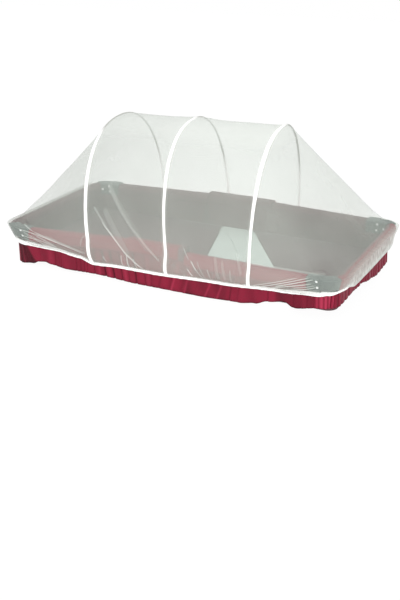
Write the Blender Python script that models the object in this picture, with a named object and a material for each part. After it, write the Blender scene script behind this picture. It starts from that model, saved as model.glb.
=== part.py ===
"""A mosquito net on three arched hoops, fitted over the top of a playpen.

The net is a white sheer tunnel with a sloping gore at each end. It wraps the playpen's rail and
an elastic hem tucks it in under the rail. The playpen's top is built with it: padded rails with
a latch in the middle of each long side, rounded corner brackets with rivets, a cloth skirt
outside, and cloth walls and a three-part mat inside.

The long sides lie along X, the front is -Y, +Z is up and the mat rests on z = 0.
"""

import math

import bmesh
import bpy
from mathutils import Vector

# ---- driving dimensions, in metres ----
PLAN_LENGTH = 1.260
PLAN_WIDTH = 0.630
CORNER_RADIUS = 0.075
RAIL_TOP = 0.145
FIT_GAP = 0.0003

RAIL_WIDTH = 0.044
RAIL_HEIGHT = 0.046
RAIL_TOP_RADIUS = 0.018
RAIL_BOTTOM_RADIUS = 0.014
LATCH_GROWTH = 0.0015
LATCH_TOP_RADIUS = 0.0145
BRACKET_TOP_RADIUS = 0.006
BRACKET_BOTTOM_RADIUS = 0.010
BRACKET_ARM = 0.047
BRACKET_TURN = math.radians(52)
CREASE_ANGLE = math.radians(40)

NET_THICKNESS = 0.0012
NET_EDGE_DROP = 0.003
SLEEVE_WIDTH = 0.017
SLEEVE_THICKNESS = 0.005
SLEEVE_LOOK = 0.2
SEAM_GAP = 0.0008
HOOP_EXPONENT = 2.26
PANEL_SAG = 0.007
GORE_FOOT = 0.030
GATHER_HEIGHT = 0.003

HEM_INSET = 0.026
HEM_HEIGHT = 0.014
HEM_THICKNESS = 0.0030

SKIRT_THICKNESS = 0.0020
SKIRT_INSET = 0.0288
SKIRT_WAVE = 0.0022
LINER_THICKNESS = 0.0020
LINER_INSET = 0.041
CORNER_SEAM = 0.0011
MAT_THICKNESS = 0.038
MAT_GAP = 0.0006
MAT_EDGE = 0.008
MAT_EDGE_RADIUS = 0.0035
MAT_TAPER = 0.110
MAT_EDGE_ANGLE = math.radians(50)

RIVET_RADIUS = 0.0036
RIVET_HEIGHT = 0.0014

# ---- mesh steps ----
HOOP_STEPS = 42
PANEL_STEPS = 8
GORE_STEPS = 7
GORE_COLUMNS = (7, 6, 10, 6, 7)
CLOTH_STEP = 0.020
RAIL_STEPS = 4
ROUND_STEPS = 3
RIVET_SIDES = 8

# ---- tables ----
# Each hoop is a spring bow from a foot on the front side to a foot on the back side.
# name, x of the front foot, x of the back foot, how far the crown leans along X, rise over the rail
HOOPS = (
    ("left", -0.260, -0.323, -0.026, 0.353),
    ("middle", 0.036, -0.043, -0.027, 0.363),
    ("right", 0.326, 0.240, 0.010, 0.366),
)

# The tunnel panels: name, the hoop on the left, the hoop on the right
PANELS = (("net_panel_left", "left", "middle"), ("net_panel_right", "middle", "right"))

# The sloping ends: name, its hoop, the end along X, how far it sags
GORES = (("net_gore_left", "left", -1, 0.010), ("net_gore_right", "right", 1, 0.030))

# The net's way down round the rail, before the hem. inset from the rail's outline, depth
TUCK = ((0.002, 0.054), (-0.0029, 0.036), (-0.0029, 0.0))

# Where the hem's lower edge runs under the rail's top, all round. side, place along it, depth
HEM_DEPTHS = (
    ("front", -0.585, 0.066),
    ("front", -0.550, 0.074),
    ("front", -0.415, 0.077),
    ("front", -0.317, 0.088),
    ("front", -0.261, 0.102),
    ("front", -0.042, 0.094),
    ("front", 0.214, 0.086),
    ("front", 0.418, 0.077),
    ("front", 0.530, 0.072),
    ("front", 0.575, 0.069),
    ("right", -0.174, 0.072),
    ("right", -0.041, 0.084),
    ("right", 0.093, 0.085),
    ("right", 0.237, 0.084),
    ("back", 0.560, 0.070),
    ("back", 0.240, 0.082),
    ("back", -0.320, 0.084),
    ("back", -0.560, 0.070),
    ("left", 0.200, 0.067),
    ("left", -0.200, 0.066),
)

# Where the skirt's lower edge runs under the rail's top. side, place along it, depth
SKIRT_DEPTHS = (
    ("front", -0.573, 0.143),
    ("front", -0.517, 0.137),
    ("front", -0.492, 0.127),
    ("front", -0.465, 0.124),
    ("front", -0.444, 0.129),
    ("front", -0.377, 0.136),
    ("front", -0.265, 0.134),
    ("front", -0.084, 0.141),
    ("front", 0.140, 0.142),
    ("front", 0.276, 0.138),
    ("front", 0.333, 0.130),
    ("front", 0.374, 0.116),
    ("front", 0.431, 0.107),
    ("front", 0.462, 0.121),
    ("front", 0.555, 0.106),
    ("front", 0.590, 0.104),
    ("right", -0.195, 0.101),
    ("right", -0.140, 0.097),
    ("right", -0.048, 0.098),
    ("right", 0.041, 0.112),
    ("right", 0.156, 0.130),
    ("right", 0.239, 0.134),
    ("back", 0.490, 0.137),
    ("back", 0.430, 0.118),
    ("back", 0.340, 0.135),
    ("back", -0.340, 0.137),
    ("back", -0.430, 0.121),
    ("back", -0.490, 0.138),
    ("left", 0.240, 0.136),
    ("left", 0.150, 0.108),
    ("left", -0.150, 0.106),
    ("left", -0.240, 0.138),
)

# The padded half rails of the long sides. name, side, which end it runs from (-1 left, 1 right),
# x where it meets the latch cover, its rise there
SIDE_RAILS = (
    ("rail_front_left", "front", -1, -0.115, 0.020),
    ("rail_front_right", "front", 1, 0.098, 0.006),
    ("rail_back_left", "back", -1, -0.107, 0.011),
    ("rail_back_right", "back", 1, 0.150, 0.010),
)

# The covers over the side latches. name, side, rise of the left end, rise of the right end
LATCH_COVERS = (
    ("latch_cover_front", "front", 0.025, 0.024),
    ("latch_cover_back", "back", 0.020, 0.017),
)

# Bracket rivets. face, distance in from the end of the playpen, depth under the rail's top
RIVETS = (
    ("outside", 0.088, 0.010),
    ("outside", 0.088, 0.032),
    ("inside", 0.080, 0.010),
    ("inside", 0.082, 0.032),
    ("inside", 0.112, 0.022),
)

# Long soft folds in the tunnel panels, from a place on a hoop down to the hem.
# panel, across at the top (0 left hoop, 1 right hoop), height at the top, across and height at
# the lower end, height of the fold, half width
PANEL_FOLDS = (
    ("net_panel_left", 0.03, 0.105, 0.66, -0.060, 0.0050, 0.022),
    ("net_panel_left", 0.12, 0.190, 0.90, -0.014, 0.0045, 0.020),
    ("net_panel_right", 0.04, 0.120, 0.30, -0.050, 0.004, 0.022),
    ("net_panel_right", 0.95, 0.140, 0.72, -0.050, 0.004, 0.022),
)

# A rivet's head, from its seat to its crown. share of the radius, share of the height
RIVET_DOME = ((1.0, 0.0), (0.95, 0.45), (0.5, 1.0))

# The skirt's folds, added up along the outline. size, turns of phase a metre, shift
SKIRT_FOLDS = ((1.0, 71.0, 0.0), (0.6, 113.0, 1.3), (0.5, 37.0, 0.4))

# A sleeve's section as shares of its width and thickness
SLEEVE_SECTION = (
    (0.5, -0.2), (0.5, 0.2), (0.32, 0.5), (-0.32, 0.5),
    (-0.5, 0.2), (-0.5, -0.2), (-0.32, -0.5), (0.32, -0.5),
)

# The mat's pale middle part. its edges' places along X at the back wall and at the front wall
MAT_MIDDLE_BACK = (-0.050, 0.094)
MAT_MIDDLE_FRONT = (0.108, 0.458)

# colour (linear red, green, blue), roughness
FINISHES = {
    "net": ((0.80, 0.83, 0.81), 0.85),
    "tape": ((0.90, 0.92, 0.90), 0.75),
    "hem": ((0.90, 0.92, 0.90), 0.80),
    "padding": ((0.16, 0.012, 0.035), 0.55),
    "skirt": ((0.18, 0.012, 0.04), 0.50),
    "plastic": ((0.20, 0.22, 0.21), 0.45),
    "rivet": ((0.80, 0.80, 0.78), 0.35),
    "liner": ((0.10, 0.105, 0.10), 0.90),
    "mat": ((0.12, 0.125, 0.12), 0.85),
    "mat_pale": ((0.62, 0.68, 0.64), 0.85),
}

HALF_LENGTH = PLAN_LENGTH / 2
HALF_WIDTH = PLAN_WIDTH / 2
DROP_STEPS = len(TUCK)
HOOP_DROP_SHARE = DROP_STEPS / HOOP_STEPS
NET_REACH = HALF_WIDTH - TUCK[-1][0]
STRAIGHT_X = HALF_LENGTH - CORNER_RADIUS
STRAIGHT_Y = HALF_WIDTH - CORNER_RADIUS
QUARTER = CORNER_RADIUS * math.pi / 2
LINER_BOTTOM = MAT_THICKNESS - MAT_EDGE
MAT_INSET = LINER_INSET + LINER_THICKNESS / 2 + MAT_GAP
MAT_HALF_WIDTH = HALF_WIDTH - MAT_INSET
MAT_CORNER_RADIUS = CORNER_RADIUS - MAT_INSET


# ---- the plan outline ----
# Places on it are counted counterclockwise from the middle of the front side.
SIDES = ("front", "right", "back", "left")
SIDE_PITCH = STRAIGHT_X + QUARTER + STRAIGHT_Y
PERIMETER = 4 * SIDE_PITCH


def outline_place(side, along):
    """Length round the outline of the place at x (or y) = along on a straight side."""
    middle = SIDES.index(side) * SIDE_PITCH
    forward = 1 if side in ("front", "right") else -1
    return (middle + forward * along) % PERIMETER


def outline_point(place, inset=0.0):
    """Point and outward direction at a place on the outline, moved in by inset."""
    place %= PERIMETER
    runs = (
        (STRAIGHT_X, QUARTER, (STRAIGHT_X, -STRAIGHT_Y), -90),
        (2 * STRAIGHT_Y, QUARTER, (STRAIGHT_X, STRAIGHT_Y), 0),
        (2 * STRAIGHT_X, QUARTER, (-STRAIGHT_X, STRAIGHT_Y), 90),
        (2 * STRAIGHT_Y, QUARTER, (-STRAIGHT_X, -STRAIGHT_Y), 180),
        (STRAIGHT_X, 0.0, (0.0, -STRAIGHT_Y), 270),
    )
    for straight, arc, centre, degrees in runs:
        angle = math.radians(degrees)
        if place <= straight + arc or arc == 0.0:
            turn = angle + max(0.0, place - straight) / CORNER_RADIUS
            outward = Vector((math.cos(turn), math.sin(turn), 0.0))
            back_along = max(0.0, straight - place)
            direction = Vector((-math.sin(angle), math.cos(angle), 0.0))
            start = Vector((centre[0], centre[1], 0.0)) - direction * back_along
            return start + outward * (CORNER_RADIUS - inset), outward
        place -= straight + arc
    raise ValueError("place is off the outline")


def eased(table, place):
    """Value at a place on the outline, eased between the rows of (side, along, value)."""
    rows = sorted((outline_place(side, along), value) for side, along, value in table)
    rows = [(rows[-1][0] - PERIMETER, rows[-1][1])] + rows + [(rows[0][0] + PERIMETER, rows[0][1])]
    place %= PERIMETER
    for (start, low), (end, high) in zip(rows, rows[1:]):
        if start <= place <= end:
            share = (place - start) / (end - start)
            share = share * share * (3 - 2 * share)
            return low + (high - low) * share
    raise ValueError("place is off the table")


def hem_low(place):
    return RAIL_TOP - eased(HEM_DEPTHS, place)


def net_edge(place):
    """Height of the net's lower edge, just clear of the hem's upper edge."""
    return hem_low(place) + HEM_HEIGHT + NET_THICKNESS / 2 + FIT_GAP


def tuck_point(place, level):
    """Point of the net's way round the rail: level 0 at the hem, DROP_STEPS at the rail's top."""
    rows = [(HEM_INSET, net_edge(place))] + [(inset, RAIL_TOP - depth) for inset, depth in TUCK]
    below = min(int(level), DROP_STEPS - 1)
    (low_inset, low), (high_inset, high) = rows[below], rows[below + 1]
    share = level - below
    point, _ = outline_point(place, low_inset + (high_inset - low_inset) * share)
    point.z = low + (high - low) * share
    return point


# ---- hoops ----
def hoop_point(name, share):
    """Point on a hoop's curve, share 0 at the front foot's hem, 1 at the back foot's hem."""
    _, front_x, back_x, lean, rise = next(row for row in HOOPS if row[0] == name)
    if share < HOOP_DROP_SHARE:
        return tuck_point(outline_place("front", front_x), share * HOOP_STEPS)
    if share > 1 - HOOP_DROP_SHARE:
        return tuck_point(outline_place("back", back_x), (1 - share) * HOOP_STEPS)
    angle = math.pi * (share - HOOP_DROP_SHARE) / (1 - 2 * HOOP_DROP_SHARE)
    side = -math.cos(angle)
    across = math.copysign(abs(side) ** (2 / HOOP_EXPONENT), side)
    up = max(0.0, math.sin(angle)) ** (2 / HOOP_EXPONENT)
    x = front_x + (back_x - front_x) * (across + 1) / 2 + lean * up
    return Vector((x, NET_REACH * across, RAIL_TOP + rise * up))


# ---- mesh helpers ----
def material(name):
    made = bpy.data.materials.get(name)
    if made is None:
        colour, roughness = FINISHES[name]
        made = bpy.data.materials.new(name)
        made.use_nodes = True
        shader = made.node_tree.nodes["Principled BSDF"]
        shader.inputs["Base Color"].default_value = (*colour, 1.0)
        shader.inputs["Roughness"].default_value = roughness
        shader.inputs["Metallic"].default_value = 0.0
        made.diffuse_color = (*colour, 1.0)
    return made


def add_object(name, points, faces, finish, thickness=0.0):
    """One named object. An open sheet gets its thickness on both sides of its middle."""
    mesh = bpy.data.meshes.new(name)
    mesh.from_pydata([tuple(point) for point in points], [], faces)
    work = bmesh.new()
    work.from_mesh(mesh)
    bmesh.ops.recalc_face_normals(work, faces=work.faces)
    work.to_mesh(mesh)
    work.free()
    mesh.materials.append(material(finish))
    piece = bpy.data.objects.new(name, mesh)
    bpy.context.collection.objects.link(piece)
    if thickness:
        wall = piece.modifiers.new("Thickness", "SOLIDIFY")
        wall.thickness = thickness
        wall.offset = 0.0
    mesh.shade_smooth()
    mesh.set_sharp_from_angle(angle=CREASE_ANGLE)
    return piece


def grid_faces(rows, columns, wrap=False):
    """Faces of a grid of points listed row by row. wrap joins the last column to the first."""
    faces = []
    spans = columns if wrap else columns - 1
    for row in range(rows - 1):
        for column in range(spans):
            beside = (column + 1) % columns
            here, there = row * columns, (row + 1) * columns
            faces.append((here + column, here + beside, there + beside, there + column))
    return faces


def add_sweep(name, rings, finish):
    """A closed solid through rings of points, capped at both ends."""
    count = len(rings[0])
    points = [point for ring in rings for point in ring]
    faces = grid_faces(len(rings), count, wrap=True)
    faces.append(tuple(reversed(range(count))))
    last = (len(rings) - 1) * count
    faces.append(tuple(range(last, last + count)))
    return add_object(name, points, faces, finish)


def rounded_section(width, height, top_radius, bottom_radius, steps):
    """Section of a rail as (outward, up) pairs. Its top middle is at (0, 0)."""
    corners = (
        (width / 2 - top_radius, -top_radius, top_radius, 0),
        (-width / 2 + top_radius, -top_radius, top_radius, 90),
        (-width / 2 + bottom_radius, -height + bottom_radius, bottom_radius, 180),
        (width / 2 - bottom_radius, -height + bottom_radius, bottom_radius, 270),
    )
    section = []
    for across, up, radius, start in corners:
        for step in range(steps + 1):
            turn = math.radians(start + 90 * step / steps)
            section.append((across + radius * math.cos(turn), up + radius * math.sin(turn)))
    return section


def rail_ring(place, section, rise=0.0):
    """The section set across the rail's middle line at a place on the outline."""
    middle, outward = outline_point(place, RAIL_WIDTH / 2)
    top = RAIL_TOP + rise
    return [middle + outward * across + Vector((0, 0, top + up)) for across, up in section]


# ---- the playpen's rails ----
BRACKET_END_X = STRAIGHT_X - BRACKET_ARM
BRACKET_SIDE_ARC = CORNER_RADIUS * BRACKET_TURN


def padded_section():
    return rounded_section(RAIL_WIDTH, RAIL_HEIGHT, RAIL_TOP_RADIUS, RAIL_BOTTOM_RADIUS, ROUND_STEPS)


def build_end_rails():
    """The short padded rails, round to the brackets at both corners."""
    reach = STRAIGHT_Y + QUARTER - BRACKET_SIDE_ARC - FIT_GAP * 2
    section = padded_section()
    for name, side in (("rail_right", "right"), ("rail_left", "left")):
        middle = outline_place(side, 0.0)
        arc = reach - STRAIGHT_Y
        offsets = [STRAIGHT_Y + arc * step / ROUND_STEPS for step in range(ROUND_STEPS + 1)]
        offsets = [-offset for offset in reversed(offsets)] + offsets
        rings = [rail_ring(middle + offset, section) for offset in offsets]
        add_sweep(name, rings, "padding")


def build_side_rails():
    """Half rails that rise a little from the brackets to the latch in the middle."""
    section = padded_section()
    for name, side, end, latch_x, rise in SIDE_RAILS:
        start_x = end * (BRACKET_END_X - FIT_GAP)
        stop_x = latch_x + end * FIT_GAP
        rings = []
        for step in range(RAIL_STEPS + 1):
            share = step / RAIL_STEPS
            x = start_x + (stop_x - start_x) * share
            place = outline_place(side, x)
            rings.append(rail_ring(place, section, rise * share))
        add_sweep(name, rings, "padding")


def build_latch_covers():
    """Padded covers over the hinges of the side rails, a little fuller than the rails."""
    height = RAIL_HEIGHT + LATCH_GROWTH
    section = rounded_section(RAIL_WIDTH, height, LATCH_TOP_RADIUS, RAIL_BOTTOM_RADIUS, ROUND_STEPS)
    for name, side, left_rise, right_rise in LATCH_COVERS:
        ends = sorted(row[3] for row in SIDE_RAILS if row[1] == side)
        rings = []
        for step in range(RAIL_STEPS + 1):
            share = step / RAIL_STEPS
            x = ends[0] + (ends[1] - ends[0]) * share
            rise = left_rise + (right_rise - left_rise) * share
            rings.append(rail_ring(outline_place(side, x), section, rise))
        add_sweep(name, rings, "padding")


def corner_name(side, end):
    return f"{side}_{'left' if end < 0 else 'right'}"


def build_brackets():
    """Grey plastic corners: a straight arm on the long side, then round most of the corner."""
    section = rounded_section(
        RAIL_WIDTH, RAIL_HEIGHT, BRACKET_TOP_RADIUS, BRACKET_BOTTOM_RADIUS, ROUND_STEPS - 1
    )
    for side, side_sign in (("front", 1), ("back", -1)):
        for end in (-1, 1):
            toward_end = side_sign * end
            start = outline_place(side, end * BRACKET_END_X)
            lengths = [0.0]
            turns = [step / RAIL_STEPS for step in range(RAIL_STEPS + 1)]
            lengths += [BRACKET_ARM + BRACKET_SIDE_ARC * turn for turn in turns]
            rings = [rail_ring(start + toward_end * length, section) for length in lengths]
            add_sweep(f"bracket_{corner_name(side, end)}", rings, "plastic")


def add_rivet(name, seat, outward):
    """A low domed head that stands on a bracket's face."""
    up = Vector((0, 0, 1))
    beside = outward.cross(up)
    base = seat + outward * FIT_GAP
    rings = []
    for radius_share, height_share in RIVET_DOME:
        ring = []
        for side in range(RIVET_SIDES):
            turn = 2 * math.pi * side / RIVET_SIDES
            radius = RIVET_RADIUS * radius_share
            spread = beside * math.cos(turn) * radius + up * math.sin(turn) * radius
            ring.append(base + spread + outward * RIVET_HEIGHT * height_share)
        rings.append(ring)
    add_sweep(name, rings, "rivet")


def build_rivets():
    for side, side_sign in (("front", -1), ("back", 1)):
        for end in (-1, 1):
            for number, (face, inward, depth) in enumerate(RIVETS, start=1):
                out = side_sign if face == "outside" else -side_sign
                face_y = HALF_WIDTH if face == "outside" else HALF_WIDTH - RAIL_WIDTH
                seat = Vector((end * (HALF_LENGTH - inward), side_sign * face_y, RAIL_TOP - depth))
                name = f"rivet_{corner_name(side, end)}_{number}"
                add_rivet(name, seat, Vector((0, out, 0)))


# ---- cloth round the playpen ----
def underside_rise(side, x):
    """Height that the underside of a long side's rail gains over its brackets' underside."""
    left, right = [row for row in SIDE_RAILS if row[1] == side]
    if left[3] < x < right[3]:
        cover = next(row for row in LATCH_COVERS if row[1] == side)
        share = (x - left[3]) / (right[3] - left[3])
        return cover[2] + (cover[3] - cover[2]) * share - LATCH_GROWTH
    half = left if x <= left[3] else right
    end_x = half[2] * BRACKET_END_X
    return half[4] * max(0.0, (x - end_x) / (half[3] - end_x))


def cloth_top(side, place, inset):
    """Top edge of cloth that hangs under a side's rails, where its outer face has this inset."""
    radius = BRACKET_BOTTOM_RADIUS
    aside = max(0.0, abs(RAIL_WIDTH / 2 - inset) - (RAIL_WIDTH / 2 - radius))
    rounding = radius - math.sqrt(radius**2 - aside**2)
    top = RAIL_TOP - RAIL_HEIGHT + rounding - FIT_GAP
    if side in ("left", "right"):
        return top
    x = outline_point(place)[0].x
    return top + min(underside_rise(side, x + step) for step in (-CLOTH_STEP, 0.0, CLOTH_STEP))


def side_places(side, spacing):
    """Places along a side's cloth panel, from the middle of one corner to the next."""
    half = STRAIGHT_X if side in ("front", "back") else STRAIGHT_Y
    turn = QUARTER / 2 - CORNER_SEAM
    count = round(2 * half / spacing)
    reaches = [-half - turn * step / ROUND_STEPS for step in range(ROUND_STEPS, 0, -1)]
    reaches += [-half + 2 * half * step / count for step in range(count + 1)]
    reaches += [half + turn * step / ROUND_STEPS for step in range(1, ROUND_STEPS + 1)]
    middle = SIDES.index(side) * SIDE_PITCH
    return [middle + reach for reach in reaches]


def skirt_push(place, share):
    """How far the skirt's folds push it in from its outermost line, more at its lower edge."""
    wave = sum(size * math.sin(place * pace + shift) for size, pace, shift in SKIRT_FOLDS)
    depth = SKIRT_WAVE * (0.3 + 0.7 * share)
    return depth * (1 - wave / sum(size for size, _, _ in SKIRT_FOLDS))


def build_skirt():
    """Four maroon panels that hang under the rails and brackets, sewn at the corners."""
    for side in SIDES:
        places = side_places(side, CLOTH_STEP)
        points = []
        for share in (0.0, 0.5, 1.0):
            for place in places:
                high = cloth_top(side, place, SKIRT_INSET)
                low = RAIL_TOP - eased(SKIRT_DEPTHS, place)
                inset = SKIRT_INSET + SKIRT_THICKNESS / 2 + skirt_push(place, share)
                point, _ = outline_point(place, inset)
                points.append(point + Vector((0, 0, high + (low - high) * share)))
        faces = grid_faces(3, len(places))
        add_object(f"skirt_{side}", points, faces, "skirt", SKIRT_THICKNESS)


def build_liner():
    """Four dark walls inside the rails, down to the foot of the mat's edge."""
    for side in SIDES:
        places = side_places(side, CLOTH_STEP * 3)
        points = []
        for share in (0.0, 1.0):
            for place in places:
                high = cloth_top(side, place, LINER_INSET - LINER_THICKNESS / 2)
                point, _ = outline_point(place, LINER_INSET)
                points.append(point + Vector((0, 0, high + (LINER_BOTTOM - high) * share)))
        faces = grid_faces(2, len(places))
        add_object(f"liner_{side}", points, faces, "liner", LINER_THICKNESS)


def mat_divide(edge, y):
    """X of the left (0) or right (1) edge of the mat's pale middle part at y."""
    share = (MAT_HALF_WIDTH - y) / (2 * MAT_HALF_WIDTH)
    return MAT_MIDDLE_BACK[edge] + (MAT_MIDDLE_FRONT[edge] - MAT_MIDDLE_BACK[edge]) * share


def add_mat(name, upper, lower, finish):
    """A soft pad whose upright edge follows the upper outline. It bellies down from the foot of
    that edge to the lower outline on the floor."""
    count = len(upper)
    points = []
    for outline, z in ((lower, 0.0), (upper, MAT_THICKNESS - MAT_EDGE), (upper, MAT_THICKNESS)):
        points += [Vector((x, y, z)) for x, y in outline]
    faces = grid_faces(3, count, wrap=True)
    faces += [tuple(reversed(range(count))), tuple(range(2 * count, 3 * count))]
    pad = add_object(name, points, faces, finish)
    edge = pad.modifiers.new("Eased edges", "BEVEL")
    edge.width = MAT_EDGE_RADIUS
    edge.segments = 2
    edge.limit_method = "ANGLE"
    edge.angle_limit = MAT_EDGE_ANGLE


def build_mat():
    """The three-part mat: a dark half at each end and a pale wedge between them."""
    high_y, low_y = MAT_HALF_WIDTH, MAT_HALF_WIDTH - MAT_TAPER
    for name, end, edge in (("mat_left", -1, 0), ("mat_right", 1, 1)):
        upper, lower = [], []
        for side, first in ((-1, -90.0), (1, 0.0)):
            for step in range(ROUND_STEPS + 1):
                turn = math.radians(first + 90 * step / ROUND_STEPS)
                x = end * (STRAIGHT_X + MAT_CORNER_RADIUS * math.cos(turn))
                y = side * STRAIGHT_Y + MAT_CORNER_RADIUS * math.sin(turn)
                upper.append((x, y))
                lower.append((x - end * MAT_TAPER, y - side * MAT_TAPER))
        for side in (1, -1):
            upper.append((mat_divide(edge, side * high_y) + end * FIT_GAP, side * high_y))
            lower.append((mat_divide(edge, side * low_y) + end * FIT_GAP, side * low_y))
        add_mat(name, upper, lower, "mat")
    corners = ((0, -1), (1, -1), (1, 1), (0, 1))
    upper = [(mat_divide(edge, side * high_y), side * high_y) for edge, side in corners]
    lower = [(mat_divide(edge, side * low_y), side * low_y) for edge, side in corners]
    add_mat("mat_middle", upper, lower, "mat_pale")


# ---- the net ----
def gore_places(hoop, end):
    """Places of a gore's lower points, from the hoop's front foot to its back foot.

    The first and last runs lie beside the feet, and the others fan out round the corners.
    """
    front_reach = abs(seam_point(hoop, 0.0, end).x)
    back_reach = 2 * SIDE_PITCH - abs(seam_point(hoop, 1.0, end).x)
    corner = STRAIGHT_X
    stops = (
        front_reach, front_reach + GORE_FOOT, corner, corner + QUARTER, 2 * SIDE_PITCH - corner - QUARTER,
        2 * SIDE_PITCH - corner, back_reach - GORE_FOOT, back_reach,
    )
    counts = (GORE_STEPS, *GORE_COLUMNS, GORE_STEPS)
    reaches = [front_reach]
    for start, stop, count in zip(stops, stops[1:], counts):
        reaches += [start + (stop - start) * step / count for step in range(1, count + 1)]
    return [(end * reach) % PERIMETER for reach in reaches]


def panel_places(side, left, right):
    """Places of a tunnel panel's lower points on one side, between two hoops' feet."""
    share = 0.0 if side == "front" else 1.0
    start, stop = seam_point(left, share, 1).x, seam_point(right, share, -1).x
    places = []
    for column in range(PANEL_STEPS + 1):
        places.append(outline_place(side, start + (stop - start) * column / PANEL_STEPS))
    return places


def build_hem():
    """One elastic band all round. It bends at the same places as the net's lower edge."""
    places = gore_places("right", 1) + gore_places("left", -1)
    for side in ("front", "back"):
        places += panel_places(side, "left", "middle") + panel_places(side, "middle", "right")
    places.sort()
    points = []
    for share in (0.0, 1.0):
        for place in places:
            point, _ = outline_point(place, HEM_INSET)
            points.append(point + Vector((0, 0, hem_low(place) + HEM_HEIGHT * share)))
    add_object("hem_elastic", points, grid_faces(2, len(places), wrap=True), "hem", HEM_THICKNESS)


def build_sleeves():
    """Flat tape tubes over the hoops. Their ends are cut along the hem's upper edge."""
    for name, *_ in HOOPS:
        rings = []
        for step in range(HOOP_STEPS + 1):
            share = step / HOOP_STEPS
            nearby = SLEEVE_LOOK / HOOP_STEPS
            ahead = hoop_point(name, min(1.0, share + nearby))
            behind = hoop_point(name, max(0.0, share - nearby))
            along = (ahead - behind).normalized()
            across = Vector((1, 0, 0))
            across = (across - along * across.dot(along)).normalized()
            out = across.cross(along)
            middle = hoop_point(name, share)
            ring = [
                middle + across * SLEEVE_WIDTH * wide + out * SLEEVE_THICKNESS * deep
                for wide, deep in SLEEVE_SECTION
            ]
            if share in (0.0, 1.0):
                side = "front" if share == 0.0 else "back"
                seams = [seam_point(name, share, sign).x for sign in (-1, 1)]
                edges = [net_edge(outline_place(side, x)) for x in seams]
                for point in ring:
                    level = (point.x - seams[0]) / (seams[1] - seams[0])
                    point.z = edges[0] + (edges[1] - edges[0]) * level
            rings.append(ring)
        add_sweep(f"sleeve_{name}", rings, "tape")


def seam_point(name, share, side):
    """Point on a net panel's edge beside a hoop's sleeve, on its -X (-1) or +X (1) side."""
    return hoop_point(name, share) + Vector((side * (SLEEVE_WIDTH / 2 + SEAM_GAP), 0, 0))


def inward(point):
    """Direction from a point of the arched net towards the middle of the playpen's top."""
    return -Vector((0, point.y, max(0.0, point.z - RAIL_TOP))).normalized()


def fold_height(panel, across, width, point):
    """Height of a panel's long soft folds at a point of its front half."""
    if point.y > 0:
        return 0.0
    here = Vector((across * width, point.z - RAIL_TOP))
    total = 0.0
    for row in PANEL_FOLDS:
        if row[0] != panel:
            continue
        _, top_across, top_height, low_across, low_height, height, half_width = row
        top = Vector((top_across * width, top_height))
        low = Vector((low_across * width, low_height))
        run = low - top
        share = max(0.0, min(1.0, (here - top).dot(run) / run.length_squared))
        away = (here - top - run * share).length / half_width
        total += height * math.exp(-away * away)
    return total


def build_tunnel_panels():
    """The two arched panels between the hoops, slightly slack, with long soft folds."""
    for name, left, right in PANELS:
        points = []
        for step in range(HOOP_STEPS + 1):
            share = step / HOOP_STEPS
            start, end = seam_point(left, share, 1), seam_point(right, share, -1)
            side = "front" if share < 0.5 else "back"
            level = min(DROP_STEPS, step, HOOP_STEPS - step)
            for column in range(PANEL_STEPS + 1):
                across = column / PANEL_STEPS
                point = start.lerp(end, across)
                if level < DROP_STEPS:
                    points.append(tuck_point(outline_place(side, point.x), level))
                    continue
                slack = 4 * across * (1 - across)
                sag = PANEL_SAG * slack * math.sin(math.pi * share)
                fold = fold_height(name, across, (end - start).length, point)
                points.append(point + inward(point) * (sag - fold * min(1.0, 2 * slack)))
        faces = grid_faces(HOOP_STEPS + 1, PANEL_STEPS + 1)
        add_object(name, points, faces, "net", NET_THICKNESS)


def build_gores():
    """The sloping ends: a fan from the last hoop to the rail's edge, then round it to the hem."""
    for name, hoop, end, sag in GORES:
        rim_places = gore_places(hoop, end)
        places = rim_places[GORE_STEPS:-GORE_STEPS]
        columns = len(places) - 1
        points = []
        for column, place in enumerate(places):
            share = column / columns
            gather = GATHER_HEIGHT * (column % 2) if 0 < column < columns else 0.0
            edge, _ = outline_point(place, TUCK[-1][0] - gather)
            edge.z = RAIL_TOP - NET_EDGE_DROP
            top = seam_point(hoop, HOOP_DROP_SHARE + (1 - 2 * HOOP_DROP_SHARE) * share, end)
            for row in range(GORE_STEPS + 1):
                down = row / GORE_STEPS
                slack = 4 * down * (1 - down) * math.sin(math.pi * share)
                inward_slope = Vector((-end, 0, -1)).normalized()
                points.append(top.lerp(edge, down) + inward_slope * sag * slack)
        faces = grid_faces(columns + 1, GORE_STEPS + 1)
        # The strip round the rail shares the fan's lower edge, and its two end columns, which
        # run along the rail from the hoop's feet.
        last = columns * (GORE_STEPS + 1)
        above = list(range(GORE_STEPS))
        above += [column * (GORE_STEPS + 1) + GORE_STEPS for column in range(columns + 1)]
        above += [last + row for row in range(GORE_STEPS - 1, -1, -1)]
        for level in range(DROP_STEPS - 1, -1, -1):
            first = len(points)
            points += [tuck_point(place, level) for place in rim_places]
            below = list(range(first, first + len(rim_places)))
            for step in range(len(above) - 1):
                faces.append((above[step], above[step + 1], below[step + 1], below[step]))
            above = below
        add_object(name, points, faces, "net", NET_THICKNESS)


def main():
    for old in list(bpy.data.objects):
        bpy.data.objects.remove(old, do_unlink=True)
    build_end_rails()
    build_side_rails()
    build_latch_covers()
    build_brackets()
    build_rivets()
    build_skirt()
    build_liner()
    build_mat()
    build_hem()
    build_sleeves()
    build_tunnel_panels()
    build_gores()


main()
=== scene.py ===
import math

import bmesh
import bpy
import numpy as np
from mathutils import Matrix, Vector, noise


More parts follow.
